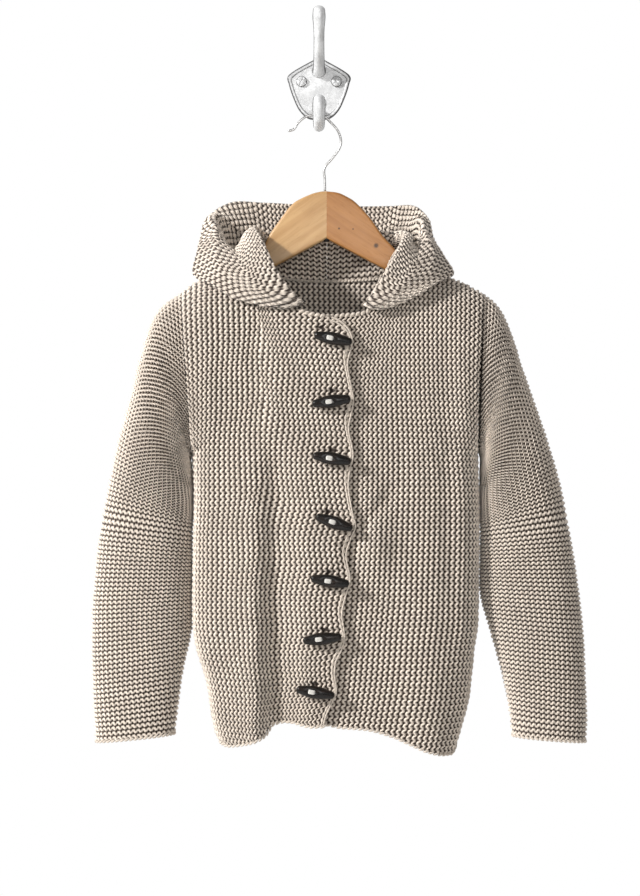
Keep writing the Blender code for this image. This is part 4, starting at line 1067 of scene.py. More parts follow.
def knit_panel(name, points_at, settings, front, seams, rows_per_stitch=ROWS_PER_STITCH, holes=()):
    """A body panel's shell: upright ridges outside, a plain side within."""
    span = np.linspace(0, 1, PROBES)
    v, t = np.meshgrid(span, span, indexing="ij")
    probe = points_at(t, v)
    width = lengths(probe * (1, 1, 0), 1)
    height = lengths(probe, 0)
    ridges = round(float(width[:, -1].mean() / settings.body_ridge))
    stitches = round(float(height[-1].mean() / settings.body_stitch))
    share = height.mean(axis=1) / height[-1].mean()

    def grid(columns, rows):
        """The panel's points: columns evenly apart, and rows of even height that bend to the top line."""
        spread = calmed(evened(t, width, columns), CALM_REACH).T
        row_v = np.interp(rows, share, span)
        at_t = np.array([np.interp(row_v, span, own) for own in spread]).T
        straight = np.broadcast_to(row_v[:, None], at_t.shape)
        far = lengths(points_at(at_t, straight), 0)[-1]
        rate = calmed((far.mean() / far)[:, None], len(columns) // RATE_CALM)[:, 0]
        level = rate * straight + (1 - rate) * straight ** LEVEL_POWER
        at_t = np.array([np.interp(now, span, own) for now, own in zip(level.T, spread)]).T
        return points_at(at_t, level) + shift

    shift = np.array([0, -1 if front else 1, 0]) * SEAM_GAP / 2 * MM
    columns = ridge_columns(ridges)
    rows = np.linspace(0, 1, stitches * rows_per_stitch + 1)
    outer = grid(columns / ridges, rows)
    cloth = Cloth()
    fine = cloth.add_grid(outer, columns[None, :], level_stitches(outer, settings.body_stitch), False,
                          flip=not front, edge=panel_edges(len(rows), len(columns), seams),
                          hole=hole_depths(outer, holes))
    coarse_columns = np.linspace(0, 1, ridges + 1)
    coarse = grid(coarse_columns, np.linspace(0, 1, stitches + 1))
    inward = grid_normals(coarse) * (-1 if front else 1)
    coarse = coarse + inward * CLOTH * MM
    up = level_stitches(coarse, settings.body_stitch)
    plain = cloth.add_grid(coarse, coarse_columns[None, :] * ridges, up, False, flip=front, plain=1.0)
    if front:
        cloth.join_borders(fine, plain)
    else:
        cloth.join_borders(fine[:, ::-1], plain[:, ::-1])
    return cloth.build(name)


def hole_depths(points, holes):
    """How deep the knitting sinks at each buttonhole, as shares of the relief. The knit material also paints
    as much shade into the hole's colour.
    """
    total = np.zeros(points.shape[:2])
    for hole in holes:
        across = (points[..., 0] / MM - HANGER_X - hole.x) / HOLE_HALF_WIDTH
        down = (-points[..., 2] / MM - hole.drop) / HOLE_HALF_HEIGHT
        total += HOLE_SINK * np.exp(-(across ** 2 + down ** 2) ** 2)
    return total


def knit_sleeve(name, rings, settings, way):
    """A sleeve's shell in two bands of ridges round the arm, the lower one with fewer columns."""
    span = np.linspace(0, 1, PROBES)
    u, angle = np.meshgrid(span, np.linspace(0, 2 * math.pi, PROBES) + math.pi, indexing="ij")
    probe = sleeve_points(rings, u, angle)
    outer_line = sleeve_points(rings, span, np.zeros(PROBES))
    steps = np.linalg.norm(np.diff(outer_line, axis=0), axis=1)
    drops = -outer_line[:, 2] / MM
    loose = 1 + LOOSE_MORE * np.exp(-((drops[1:] - LOOSE_DROP) / LOOSE_SPREAD) ** 2)
    share = np.concatenate([[0], np.cumsum(steps / loose)])
    ridges = round(float(share[-1] / settings.sleeve_ridge))
    share /= share[-1]

    def grid(count, rows):
        """The sleeve's points in so many even steps round each row."""
        row_u = np.interp(rows, share, span)
        dense = np.linspace(0, 2 * math.pi, 2 * PROBES) + math.pi
        dense_a, dense_u = np.meshgrid(dense, row_u, indexing="xy")
        travelled = lengths(sleeve_points(rings, dense_u, dense_a), 1)
        at = evened(dense_a, travelled, np.linspace(0, 1, count + 1))
        return sleeve_points(rings, np.broadcast_to(row_u[:, None], at.shape), at) + sleeve_shift(way)

    rows = ridge_columns(ridges)
    split = ridges // 2 * len(RIDGE_PROFILE)
    cloth = Cloth()
    bands = []
    normals = grid_normals(probe, True)
    flip = ((probe - probe.mean(axis=1, keepdims=True)) * normals).sum() < 0
    for part, count in ((rows[:split + 1], SLEEVE_COLUMNS[0]), (rows[split + 1:], SLEEVE_COLUMNS[1])):
        outer = grid(count, part / ridges)
        around = lengths(outer, 1)
        stitch = (around - around[:, -1:] / 2) / settings.sleeve_stitch
        ends = 1.0 * (part == ridges) - 1.0 * (part == 0)
        bands.append(cloth.add_grid(outer, part[:, None], stitch, True, wrap=True, flip=flip,
                                    edge=ends[:, None]))
    coarse_rows = np.linspace(0, 1, ridges + 1)
    coarse = grid(SLEEVE_COLUMNS[2], coarse_rows)
    outward = grid_normals(coarse, True) * (-1 if flip else 1)
    coarse = coarse - outward * CLOTH * MM
    around = lengths(coarse, 1) / settings.sleeve_stitch
    plain = cloth.add_grid(coarse, coarse_rows[:, None] * ridges, around, True, wrap=True, flip=not flip,
                           plain=1.0)
    if flip:
        bands = [band[:, ::-1] for band in bands]
        plain = plain[:, ::-1]
    cloth.zip(bands[0][-1], bands[1][0])
    cloth.zip(bands[0][0][::-1], plain[0][::-1])
    cloth.zip(bands[1][-1], plain[-1])
    return cloth.build(name)


def sleeve_shift(way):
    """The step in metres by which a knitted sleeve lies closer to the body."""
    return np.array([way * SLEEVE_SHIFT * MM, 0, 0])


def knit_hood(name, rows, settings, way):
    """Half the hood: ridges run along the neck, then turn at the fold and end square to the face edge."""
    span = np.linspace(0, 1, HOOD_PROBES)
    sections = hood_sections(rows, span)
    middle = placed(np.array([along_section(section, span * (len(section) - 1)) for section in sections]))
    normals = grid_normals(middle)
    middle = middle + np.array([way * SEAM_GAP / 2 * MM, 0, 0])
    far = lengths(middle, 1)
    pocket = HOOD_POCKET / (sections.shape[1] - 1)
    to_pocket = np.array([np.interp(pocket, span, line) for line in far])
    rim = float(lengths(middle[:, -1], 0)[-1])
    ridges = round((rim + float(to_pocket[0])) / 2 / settings.body_ridge)
    count = HOOD_STITCHES * HOOD_ROWS_PER_STITCH + 1
    columns = ridge_columns(ridges)

    def ridge_line(q):
        """One ridge as places (a, w) on the hood's surface, evenly spaced along its length."""
        turn = 1 - q
        first = np.linspace(0, turn, HOOD_LINE_POINTS)
        wanted = np.clip(q / np.maximum(1 - first, 1e-6), 0, 1)
        goal = wanted * np.interp(first, span, to_pocket)
        nearest = np.clip(first * (HOOD_PROBES - 1), 0, HOOD_PROBES - 1)
        low = np.minimum(nearest.astype(int), HOOD_PROBES - 2)
        part = (nearest - low)[:, None]
        row_far = far[low] * (1 - part) + far[low + 1] * part
        first_w = np.array([np.interp(value, line, span) for value, line in zip(goal, row_far)])
        first_w[-1] = pocket if q > 0 else first_w[-1]
        second_w = np.linspace(first_w[-1], 1, HOOD_LINE_POINTS)[1:]
        path_a = np.append(first, np.full(len(second_w), turn))
        path_w = np.append(first_w, second_w)
        travelled = lengths(sample(middle, path_a, path_w), 0)
        even = np.linspace(0, travelled[-1], HOOD_LINE_DENSITY * count)
        path = np.stack([np.interp(even, travelled, values) for values in (path_a, path_w)], axis=1)
        path = rounded(path, HOOD_ROUNDING)
        return path[np.linspace(0, len(path) - 1, count).round().astype(int)]

    a, w = np.moveaxis(np.array([ridge_line(q) for q in columns / ridges]), -1, 0)
    surface, out = sample(middle, a, w), units(sample(normals, a, w))
    stitch = lengths(surface, 1) / settings.hood_stitch
    half = CLOTH / 2 * MM
    cloth = Cloth()
    edge = np.zeros((len(columns), count))
    edge[:, -1] = edge[0] = 1.0
    outside = cloth.add_grid(surface + out * half, columns[:, None], stitch, True, flip=True, edge=edge,
                             normals=out)
    inside = cloth.add_grid(surface - out * half, columns[:, None] + 0.5, stitch, True, edge=edge,
                            normals=-out)
    cloth.join_borders(outside[:, ::-1], inside[:, ::-1])
    return cloth.build(name)


def rounded(path, reach):
    """A path with its corner rounded by averaging along it; its ends stay where they are."""
    before, after = 2 * path[:1] - path[reach:0:-1], 2 * path[-1:] - path[-2:-reach - 2:-1]
    return np.clip(window_mean(np.concatenate([before, path, after]), reach), 0, 1)


def sample(grid, a, w):
    """Values of a square grid at places from 0 to 1 along each side."""
    rows, columns = grid.shape[:2]
    i, j = a * (rows - 1), w * (columns - 1)
    low_i, low_j = np.clip(i.astype(int), 0, rows - 2), np.clip(j.astype(int), 0, columns - 2)
    s, t = (i - low_i)[..., None], (j - low_j)[..., None]
    return (
        grid[low_i, low_j] * (1 - s) * (1 - t) + grid[low_i + 1, low_j] * s * (1 - t)
        + grid[low_i, low_j + 1] * (1 - s) * t + grid[low_i + 1, low_j + 1] * s * t
    )


# -------- edge chains
def chain_tree():
    """Small oval bumps in a row along a curve, as a cast-off or picked-up edge shows them."""
    tree, given, end = open_tree("edge chain", Pitch="Float", Bump_radius="Float", Lean="Float",
                                 Material="Material")
    points = tree.add("GeometryNodeCurveToPoints", {"Curve": given["Geometry"], "Length": given["Pitch"]},
                      mode="LENGTH")
    bump = tree.add("GeometryNodeMeshUVSphere", {"Segments": 8, "Rings": 6, "Radius": 1.0})
    half = tree.times(given["Pitch"], BUMP_REACH)
    thick = given["Bump radius"]
    size = tree.add("ShaderNodeCombineXYZ", {"X": thick, "Y": thick, "Z": half})
    thin = tree.add("GeometryNodeTransform", {"Geometry": bump.outputs["Mesh"], "Scale": size.outputs[0]})
    lean = tree.add("ShaderNodeCombineXYZ", {"X": given["Lean"]})
    turned = tree.add("FunctionNodeRotateRotation", {"Rotation": points.outputs["Rotation"]},
                      rotation_space="LOCAL")
    euler = tree.add("FunctionNodeEulerToRotation", {"Euler": lean.outputs[0]})
    tree.put(turned.inputs[1], euler.outputs[0])
    bumps = tree.add("GeometryNodeInstanceOnPoints", {
        "Points": points.outputs["Points"], "Instance": thin.outputs[0], "Rotation": turned.outputs[0],
    })
    close_tree(tree, given, end, bumps.outputs[0])


def make_chain(name, line, chain):
    """An edge chain along a line of points in metres."""
    curve = bpy.data.curves.new(name, "CURVE")
    curve.dimensions = "3D"
    spline = curve.splines.new("POLY")
    spline.points.add(len(line) - 1)
    spline.points.foreach_set("co", np.column_stack([line, np.ones(len(line))]).ravel())
    source = add_object(name + "_path", curve)
    mesh = realised(source, "edge chain", {
        "Pitch": chain.pitch * MM, "Bump radius": chain.radius * MM, "Lean": chain.lean,
        "Material": MATERIALS["edging"],
    })
    mesh.name = name
    mesh.shade_smooth()
    bpy.data.objects.remove(source)
    return declare(add_object(name, mesh), "knit")


def make_hem(name, points_at):
    """The chain edge at the foot of a panel."""
    t = np.linspace(0, 1, PROBES)
    return make_chain(name, points_at(t, 0 * t), HEM_CHAIN)


# -------- plain meshes
def add_solid(name, mesh, work, material, sharp):
    """Ends the work on a mesh: smooth, with crisp edges above the angle sharp in degrees, and finished."""
    work.to_mesh(mesh)
    work.free()
    mesh.shade_smooth()
    if sharp:
        mesh.set_sharp_from_angle(angle=math.radians(sharp))
    mesh.materials.append(MATERIALS[material])
    return add_object(name, mesh)


def add_mesh(name, points, faces, material, sharp=None):
    """A solid of these points and faces."""
    mesh = bpy.data.meshes.new(name)
    mesh.from_pydata([tuple(point) for point in points], [], faces)
    work = bmesh.new()
    work.from_mesh(mesh)
    bmesh.ops.recalc_face_normals(work, faces=work.faces)
    if work.calc_volume(signed=True) < 0:
        bmesh.ops.reverse_faces(work, faces=work.faces)
    return add_solid(name, mesh, work, material, sharp)


def with_edge_shade(obj, values):
    """Notes how dark each point is painted: painted shade along outlines, at joints and in grooves."""
    spots = np.zeros(len(obj.data.vertices))
    spots[:len(values)] = values
    obj.data.attributes.new("stain", "FLOAT", "POINT").data.foreach_set("value", spots)
    return obj


def ring_faces(rings, sides, start=0):
    """Faces of a tube of rings, with an end point before the first ring and one after the last."""
    faces = [
        (start + i * sides + j, start + i * sides + (j + 1) % sides,
         start + (i + 1) * sides + (j + 1) % sides, start + (i + 1) * sides + j)
        for i in range(rings - 1) for j in range(sides)
    ]
    first, last = start + rings * sides, start + rings * sides + 1
    faces += [(first, start + (j + 1) % sides, start + j) for j in range(sides)]
    foot = start + (rings - 1) * sides
    faces += [(last, foot + j, foot + (j + 1) % sides) for j in range(sides)]
    return faces


def round_turn(sides):
    return 2 * math.pi * np.arange(sides) / sides


def tube_points(points, radii, sides, start=None):
    """Rings of a round bar through these points, and its two end points."""
    tangents = np.gradient(points, axis=0)
    if start is not None:
        tangents[0] = start
    tangents /= np.linalg.norm(tangents, axis=1, keepdims=True)
    normal = np.cross(tangents[0], (0.0, 1.0, 0.0))
    if np.linalg.norm(normal) < 0.5:
        normal = np.cross(tangents[0], (1.0, 0.0, 0.0))
    made = []
    angle = round_turn(sides)[:, None]
    for point, tangent, radius in zip(points, tangents, radii):
        normal = normal - np.dot(normal, tangent) * tangent
        normal /= np.linalg.norm(normal)
        other = np.cross(tangent, normal)
        made.append(point + radius * (np.cos(angle) * normal + np.sin(angle) * other))
    return np.concatenate([*made, points[:1], points[-1:]])


def make_tubes(name, tubes, sides, material):
    """One mesh of several round bars, each a pair of points and radii."""
    points, faces = [], []
    start = 0
    for line, radii in tubes:
        made = tube_points(np.asarray(line), np.asarray(radii), sides)
        faces += ring_faces(len(line), sides, start)
        points.append(made)
        start += len(made)
    return add_mesh(name, np.concatenate(points), faces, material)


# -------- toggles
def toggle_frame(toggle):
    """Middle of a toggle on the top front, its direction, the way across it and the way out."""
    v = (PLACKET[0].drop - toggle.drop) / (PLACKET[0].drop - PLACKET[-1].drop)
    surface = body_depth(np.array([toggle.x]), np.array([toggle.drop]), np.array([v]), True)[0]
    surface += lift_at(PLACKET_STEP, np.array([toggle.x]))[0]
    tilt = math.radians(toggle.tilt)
    along = np.array([math.cos(tilt), math.sin(tilt), 0])
    across = np.array([-math.sin(tilt), math.cos(tilt), 0])
    middle = np.array([toggle.x, toggle.drop, -surface - TOGGLE_CLEARANCE - TOGGLE_RADIUS * TOGGLE_FLATNESS])
    return middle, along, across, np.array([0, 0, -1.0])


def make_toggle(number, toggle, dish_at):
    """A turned spindle with a shallow oval dish and two drilled holes for its thread."""
    middle, along, across, out = toggle_frame(toggle)
    share = np.linspace(-1, 1, TOGGLE_RINGS)
    s = (share * (1 - END_PACKING) + END_PACKING * share ** 3)[:, None]
    turn = np.linspace(0, 2 * math.pi, TOGGLE_SIDES, endpoint=False)
    angle = (turn - TOP_PACKING * np.sin(turn))[None, :]
    body = np.cos(np.abs(s) * math.pi / 2) ** SPINDLE_POWER
    radius = TOGGLE_END_RADIUS + (TOGGLE_RADIUS - TOGGLE_END_RADIUS) * body
    over = np.clip((np.abs(s) - BLUNT_FROM) / (1 - BLUNT_FROM), 0, 1)
    radius = radius * (END_FACE + (1 - END_FACE) * np.sqrt(1 - over ** 2))
    high = radius * TOGGLE_FLATNESS * np.cos(angle)
    wide = radius * np.sin(angle)
    length = s * TOGGLE_LENGTH / 2 + 0 * angle
    in_dish = ((length - dish_at) / DISH_HALF_LENGTH) ** 2 + (wide / DISH_HALF_WIDTH) ** 2
    upper = np.cos(angle) > 0
    high = high - upper * DISH_DEPTH * np.exp(-in_dish ** 2)
    for side in (-1, 1):
        hole = ((length - dish_at - side * HOLE_SPACING) ** 2 + wide ** 2) / DRILL_RADIUS ** 2
        high = high - upper * DRILL_DEPTH * np.exp(-hole ** 2)
    spots = middle + along * length[..., None] + across * wide[..., None] + out * high[..., None]
    ends = [middle + along * side * TOGGLE_LENGTH / 2 for side in (-1, 1)]
    points = placed(np.concatenate([spots.reshape(-1, 3), ends]))
    return add_mesh(f"toggle_{number}_turned", points, ring_faces(TOGGLE_RINGS, TOGGLE_SIDES), "horn")


def make_thread(number, toggle, dish_at):
    """White sewing thread: a few strands laid from hole to hole across the dish."""
    middle, along, across, out = toggle_frame(toggle)
    foot = TOGGLE_RADIUS * TOGGLE_FLATNESS - DISH_DEPTH - THREAD_FOOT
    t = np.linspace(-1, 1, THREAD_POINTS)[:, None]
    arch = np.sqrt(1 - t ** 4)
    waist = 1 - THREAD_WAIST + THREAD_WAIST * (1 - t ** 2)
    tubes = []
    for strand in range(THREAD_STRANDS):
        side = strand - (THREAD_STRANDS - 1) / 2
        spread = side * THREAD_RADIUS * THREAD_SPACING * waist
        wobble = STRAND_WOBBLE * math.sin(strand * 2.3 + number)
        reach = HOLE_SPACING + HOLE_PAST + STRAND_STRAY * math.cos(strand * 1.7 + number)
        height = foot + arch * (THREAD_ARCH - THREAD_CROWN * side ** 2)
        line = middle + along * (dish_at + t * reach) + across * (spread + wobble * t) + out * height
        tubes.append((placed(line), np.full(THREAD_POINTS, THREAD_RADIUS * MM)))
    return make_tubes(f"toggle_{number}_thread", tubes, THREAD_SIDES, "thread")


# -------- hanger
def hanger_outline(table):
    """A half's outline, smooth from the mitre round the tip and straight back to the mitre's foot."""
    top = np.array([(row.x, row.drop) for row in table[:-1]])
    top = through(top, np.linspace(0, len(top) - 1, OUTLINE_STEPS * (len(top) - 1) + 1))
    return np.vstack([top, [(table[-1].x, table[-1].drop)]])


def make_hanger_half(name, table, way, wood):
    """Half the hanger: a flat board with well-rounded edges, cut square at the mitre."""
    outline = hanger_outline(table)
    apart = np.where(np.abs(outline[:, 0] - MITRE_X) < MITRE_CLOSE, way * MITRE_GAP, 0)
    x = (outline[:, 0] + HANGER_X + apart) * MM
    z = -outline[:, 1] * MM
    half = HANGER_THICK / 2 * MM
    work = bmesh.new()
    face = work.faces.new([work.verts.new((a, HANGER_PLANE * MM - half, b)) for a, b in zip(x, z)])
    pulled = bmesh.ops.extrude_face_region(work, geom=[face])
    moved = [item for item in pulled["geom"] if isinstance(item, bmesh.types.BMVert)]
    bmesh.ops.translate(work, verts=moved, vec=(0, 2 * half, 0))
    bmesh.ops.recalc_face_normals(work, faces=work.faces)
    cut = (MITRE_X + HANGER_X) * MM
    rim = [
        edge for edge in work.edges
        if len(edge.link_faces) == 2 and edge.calc_face_angle() > math.radians(BOARD_CORNER)
        and not all(abs(vert.co.x - cut) < CUT_CLOSE for vert in edge.verts)
    ]
    bmesh.ops.bevel(work, geom=rim, offset=BOARD_ROUND * MM, segments=BOARD_ROUND_STEPS, profile=0.5,
                    affect="EDGES", clamp_overlap=True)
    return add_solid(name, bpy.data.meshes.new(name), work, wood, BOARD_SHARP)


def make_nut():
    """The washer and nut that hold the wire, sunk under the hanger's peak, near black as painted shade of
    the recess they sit in.
    """
    angle = round_turn(NUT_SIDES)
    rings = [
        place(MITRE_X + ring.radius * np.cos(angle), np.full(NUT_SIDES, ring.drop),
              ring.radius * np.sin(angle) * NUT_DEPTH)
        for ring in NUT_RINGS
    ]
    ends = placed(np.array([(MITRE_X, ring.drop, 0.0) for ring in (NUT_RINGS[0], NUT_RINGS[-1])]))
    faces = ring_faces(len(rings), NUT_SIDES)
    return add_mesh("hanger_nut", np.concatenate([*rings, ends]), faces, "nut", sharp=40)


def make_wire():
    """The hanger's bent wire, slimmer at its end."""
    route = np.array([(row.x, row.drop, 0.0) for row in WIRE_ROUTE])
    points = through(route, np.linspace(0, len(route) - 1, WIRE_POINTS))
    radii = np.full(WIRE_POINTS, WIRE_RADIUS * MM)
    radii[-len(WIRE_TAPER):] *= WIRE_TAPER
    return make_tubes("hanger_wire_bent", [(placed(points), radii)], WIRE_SIDES, "wire")


# -------- wall hook
def make_plate():
    """The cast plate: a shield with a soft raised rim, flat at its back."""
    right = [(row.x, row.drop) for row in PLATE_HALF]
    left = [(-x, drop) for x, drop in right[-2:0:-1]]
    corners = np.array(right + left)
    closed = np.vstack([corners[-1:], corners, corners[:2]])
    line = through(closed, np.linspace(1, len(corners) + 1, PLATE_POINTS, endpoint=False))
    middle = line.mean(axis=0)
    rings = []
    for ring in PLATE_RINGS:
        spot = middle + (line - middle) * ring.share
        rings.append(np.stack([spot[:, 0], np.full(len(spot), -ring.high), -spot[:, 1]], axis=1) * MM)
    ends = np.array([(middle[0], -PLATE_RINGS[i].high, -middle[1]) for i in (0, -1)]) * MM
    points = np.concatenate([*rings, ends])
    plate = add_mesh("wall_plate_cast", points, ring_faces(len(rings), PLATE_POINTS), "hook", sharp=40)
    # Painted shade on the plate's side wall and outer rounding, and in the groove inside its rim.
    return with_edge_shade(plate, np.repeat(column(PLATE_RINGS, "stain"), PLATE_POINTS))


def make_prong(name, table):
    """A cast prong: a round bar that swells to a rounded tip, with painted shade down its left and right
    sides.
    """
    points = through(table, np.linspace(0, len(table) - 1, PRONG_POINTS))
    spots = np.stack([0 * points[:, 0], -points[:, 0], -points[:, 1]], axis=1) * MM
    end = unit(spots[-1] - spots[-2])
    tip = table[-1].radius
    turn = np.linspace(*TIP_TURNS)
    spots = np.vstack([spots] + [spots[-1] + end * tip * math.sin(a) * TIP_LENGTH * MM for a in turn])
    radii = np.append(points[:, 2], tip * np.cos(turn)) * MM
    made = tube_points(spots, radii, PRONG_SIDES, start=(0.0, -1.0, 0.0))
    side = np.abs(made[:-2, 0]) / np.repeat(np.maximum(radii, 1e-6), PRONG_SIDES)
    prong = add_mesh(name, made, ring_faces(len(spots), PRONG_SIDES), "hook")
    return with_edge_shade(prong, np.clip((side - RIM_SHADE_FROM) / RIM_SHADE_OVER, 0, 1))


def make_screw(number, screw):
    """A domed screw head with a cross slot, turned a little further on each screw."""
    depth = PLATE_THICK + SEAM_GAP
    angle = round_turn(SCREW_SIDES)
    rings = []
    for ring in SCREW_RINGS:
        in_slot = np.abs(np.sin(2 * angle + number)) * ring.share < SLOT_HALF_WIDTH
        slot = SLOT_DEPTH * in_slot * (ring.share < SLOT_REACH)
        rings.append(np.stack([
            screw.x + SCREW_RADIUS * ring.share * np.cos(angle), -(depth + ring.high - slot),
            -screw.drop + SCREW_RADIUS * ring.share * np.sin(angle),
        ], axis=1) * MM)
    top = depth + SCREW_RINGS[-1].high - SLOT_DEPTH
    ends = np.array([(screw.x, -depth, -screw.drop), (screw.x, -top, -screw.drop)]) * MM
    points = np.concatenate([*rings, ends])
    head = add_mesh(f"screw_{number}_domed", points, ring_faces(len(rings), SCREW_SIDES), "screw", sharp=30)
    # Painted shade round the head's foot, where it meets the plate, and at its middle, where the slots
    # cross.
    return with_edge_shade(head, np.repeat(column(SCREW_RINGS, "stain"), SCREW_SIDES))


# -------- materials
def open_material(name, roughness, more=None):
    """A new material: its tree, its shader with these inputs, and its object coordinates."""
    material = bpy.data.materials.new(name)
    material.use_nodes = True
    tree = Tree(material.node_tree)
    shader = material.node_tree.nodes["Principled BSDF"]
    for key, value in {"Roughness": roughness, **(more or {})}.items():
        shader.inputs[key].default_value = value
    place_of = tree.add("ShaderNodeTexCoord").outputs["Object"]
    return material, tree, shader, place_of


def noise(tree, vector, scale, detail=2.0, roughness=0.5):
    return tree.add("ShaderNodeTexNoise", {
        "Vector": vector, "Scale": scale, "Detail": detail, "Roughness": roughness,
    }).outputs["Fac"]


def mix_colour(tree, share, first, second, blend="MIX"):
    node = tree.add("ShaderNodeMix", data_type="RGBA", blend_type=blend)
    for key, value in (("Factor", share), ("A", first), ("B", second)):
        socket = next(item for item in node.inputs if item.name == key and item.enabled)
        tree.put(socket, (*value, 1.0) if isinstance(value, tuple) and len(value) == 3 else value)
    return next(item for item in node.outputs if item.enabled)


def toned(colour, share):
    """A colour made darker or lighter, at most full."""
    return tuple(min(1.0, share * part) for part in colour)


def ramp(tree, value, low, high, to_low=0.0, to_high=1.0):
    node = tree.add("ShaderNodeMapRange", {
        "Value": value, "From Min": low, "From Max": high, "To Min": to_low, "To Max": to_high,
    }, interpolation_type="SMOOTHSTEP")
    return node.outputs["Result"]


def bump(tree, shader, height, strength, distance):
    node = tree.add("ShaderNodeBump", {"Height": height, "Strength": strength, "Distance": distance})
    tree.put(shader.inputs["Normal"], node.outputs["Normal"])


def cycle(tree, phase, times, at):
    """0 to 1 and back, so many times a stitch, highest at this phase."""
    return swell(tree, tree.times(tree.minus(phase, at), 2 * math.pi * times))


def knit_material(settings):
    """Matt cotton: light on the ridges, with painted shade that darkens the pits, flecked, with the yarn's
    twist in its bump.
    """
    material, tree, shader, place_of = open_material("oatmeal garter knit", 0.95, {
        **COTTON_SHEEN, "Sheen Roughness": 0.6})
    yarn, painted_pit_shadow = tuple(settings.yarn), tuple(settings.painted_pit_shadow)
    ridge, stitch, plain, hole = (
        tree.add("ShaderNodeAttribute", attribute_name=key).outputs["Fac"]
        for key in ("ridge", "phase", "plain", "hole")
    )
    # Painted shade: how far the colour is darkened in the pits between ridges, at the dots between stitches
    # and where stitches link. This also holds on the plain inner side, which has no relief.
    swung = tree.math("MULTIPLY_ADD", tree.times(stitch_wave(tree, stitch), plain), PLAIN_SWING, ridge)
    gap = tree.math("POWER", off_the_crest(tree, swung), GAP_SHARPNESS)
    dots, big, link = cycle(tree, stitch, 2, 0.25), cycle(tree, stitch, 1, 0.25), cycle(tree, stitch, 1, 0.5)
    dot_shade = tree.math("MULTIPLY_ADD", big, BIG_DOT_SHADE, DOT_SHADE)
    dark = tree.math("MULTIPLY_ADD", dots, dot_shade, GAP_SHADE)
    linked = tree.times(tree.times(link, LINK_SHADE), tree.minus(1.0, gap))
    depth = tree.plus(tree.math("MULTIPLY_ADD", gap, dark, linked), hole)
    mottle = noise(tree, place_of, scale=55.0, detail=3.0)
    fleck = noise(tree, place_of, scale=900.0, detail=2.0, roughness=0.7)
    light = mix_colour(tree, ramp(tree, mottle, 0.35, 0.65), toned(yarn, 0.93), toned(yarn, 1.06))
    light = mix_colour(tree, ramp(tree, fleck, 0.55, 0.75), light, toned(yarn, 0.80))
    # Painted half-shade on the pits' flanks, then near-black painted shadow down in the pits and at the
    # buttonholes.
    warm = mix_colour(tree, 0.72, yarn, painted_pit_shadow, "MULTIPLY")
    colour = mix_colour(tree, ramp(tree, depth, 0.10, 0.50), light, warm)
    colour = mix_colour(tree, ramp(tree, depth, 0.28, 0.72), colour, painted_pit_shadow)
    tree.put(shader.inputs["Base Color"], colour)
    turns = tree.math("MULTIPLY_ADD", stitch, TWISTS, tree.times(ridge, TWIST_SLANT))
    twist = tree.math("SINE", tree.times(turns, 2 * math.pi))
    fine = tree.math("MULTIPLY_ADD", twist, TWIST_BUMP, tree.times(fleck, FLECK_BUMP))
    drawn = tree.times(tree.minus(1.0, depth), plain)
    bump(tree, shader, tree.math("MULTIPLY_ADD", drawn, DRAWN_BUMP, fine), 0.85, 0.0008)
    return material


def edging_material(settings):
    """The same cotton on bound-off edges, where no pit shows, toned darker than the knit's yarn as painted
    shade.
    """
    material, tree, shader, place_of = open_material("oatmeal cast-off edge", 0.95, COTTON_SHEEN)
    yarn = tuple(settings.yarn)
    fleck = noise(tree, place_of, scale=800.0, detail=3.0, roughness=0.7)
    mottle = noise(tree, place_of, scale=300.0, detail=1.0)
    # The yarn at half to four fifths of its tone, as painted shade on the smooth chains and cords, varied at
    # random by fleck and mottle.
    colour = mix_colour(tree, ramp(tree, fleck, 0.4, 0.65), toned(yarn, 0.8), toned(yarn, 0.5))
    colour = mix_colour(tree, ramp(tree, mottle, 0.5, 0.75), colour, toned(yarn, 0.6))
    tree.put(shader.inputs["Base Color"], colour)
    bump(tree, shader, fleck, 0.7, 0.0006)
    return material


def thread_material():
    """White sewing thread with its twist, its grooves painted grey as shade."""
    material, tree, shader, place_of = open_material("white sewing thread", 0.7)
    twist = tree.add("ShaderNodeTexWave", {"Vector": place_of, "Scale": 900.0, "Distortion": 1.5},
                     bands_direction="DIAGONAL").outputs["Fac"]
    # Painted shade: the twist's grooves are grey bands between white ones.
    colour = mix_colour(tree, ramp(tree, twist, 0.2, 0.8), (0.42, 0.40, 0.37), (0.78, 0.75, 0.70))
    tree.put(shader.inputs["Base Color"], colour)
    bump(tree, shader, twist, 0.5, 0.0002)
    return material


def horn_material():
    """Polished dark horn: near black, with brown streaks along each toggle and fine scratches."""
    material, tree, shader, place_of = open_material("dark polished horn", 0.24, {"Specular IOR Level": 0.3})
    streaked = tree.add("ShaderNodeMapping", {"Vector": place_of, "Scale": (60.0, 200.0, 420.0)}).outputs[0]
    streak = noise(tree, streaked, 1.0, 4.0, 0.6)
    cloud = noise(tree, place_of, 90.0, 2.0)
    colour = mix_colour(tree, ramp(tree, streak, 0.42, 0.72), (0.003, 0.0021, 0.0016), (0.016, 0.009, 0.006))
    colour = mix_colour(tree, ramp(tree, cloud, 0.5, 0.75, 0.0, 0.6), colour, (0.006, 0.005, 0.0045))
    tree.put(shader.inputs["Base Color"], colour)
    scratch = noise(tree, streaked, 6.0, 3.0, 0.7)
    tree.put(shader.inputs["Roughness"], ramp(tree, scratch, 0.3, 0.7, 0.18, 0.38))
    bump(tree, shader, scratch, 0.12, 0.0003)
    return material


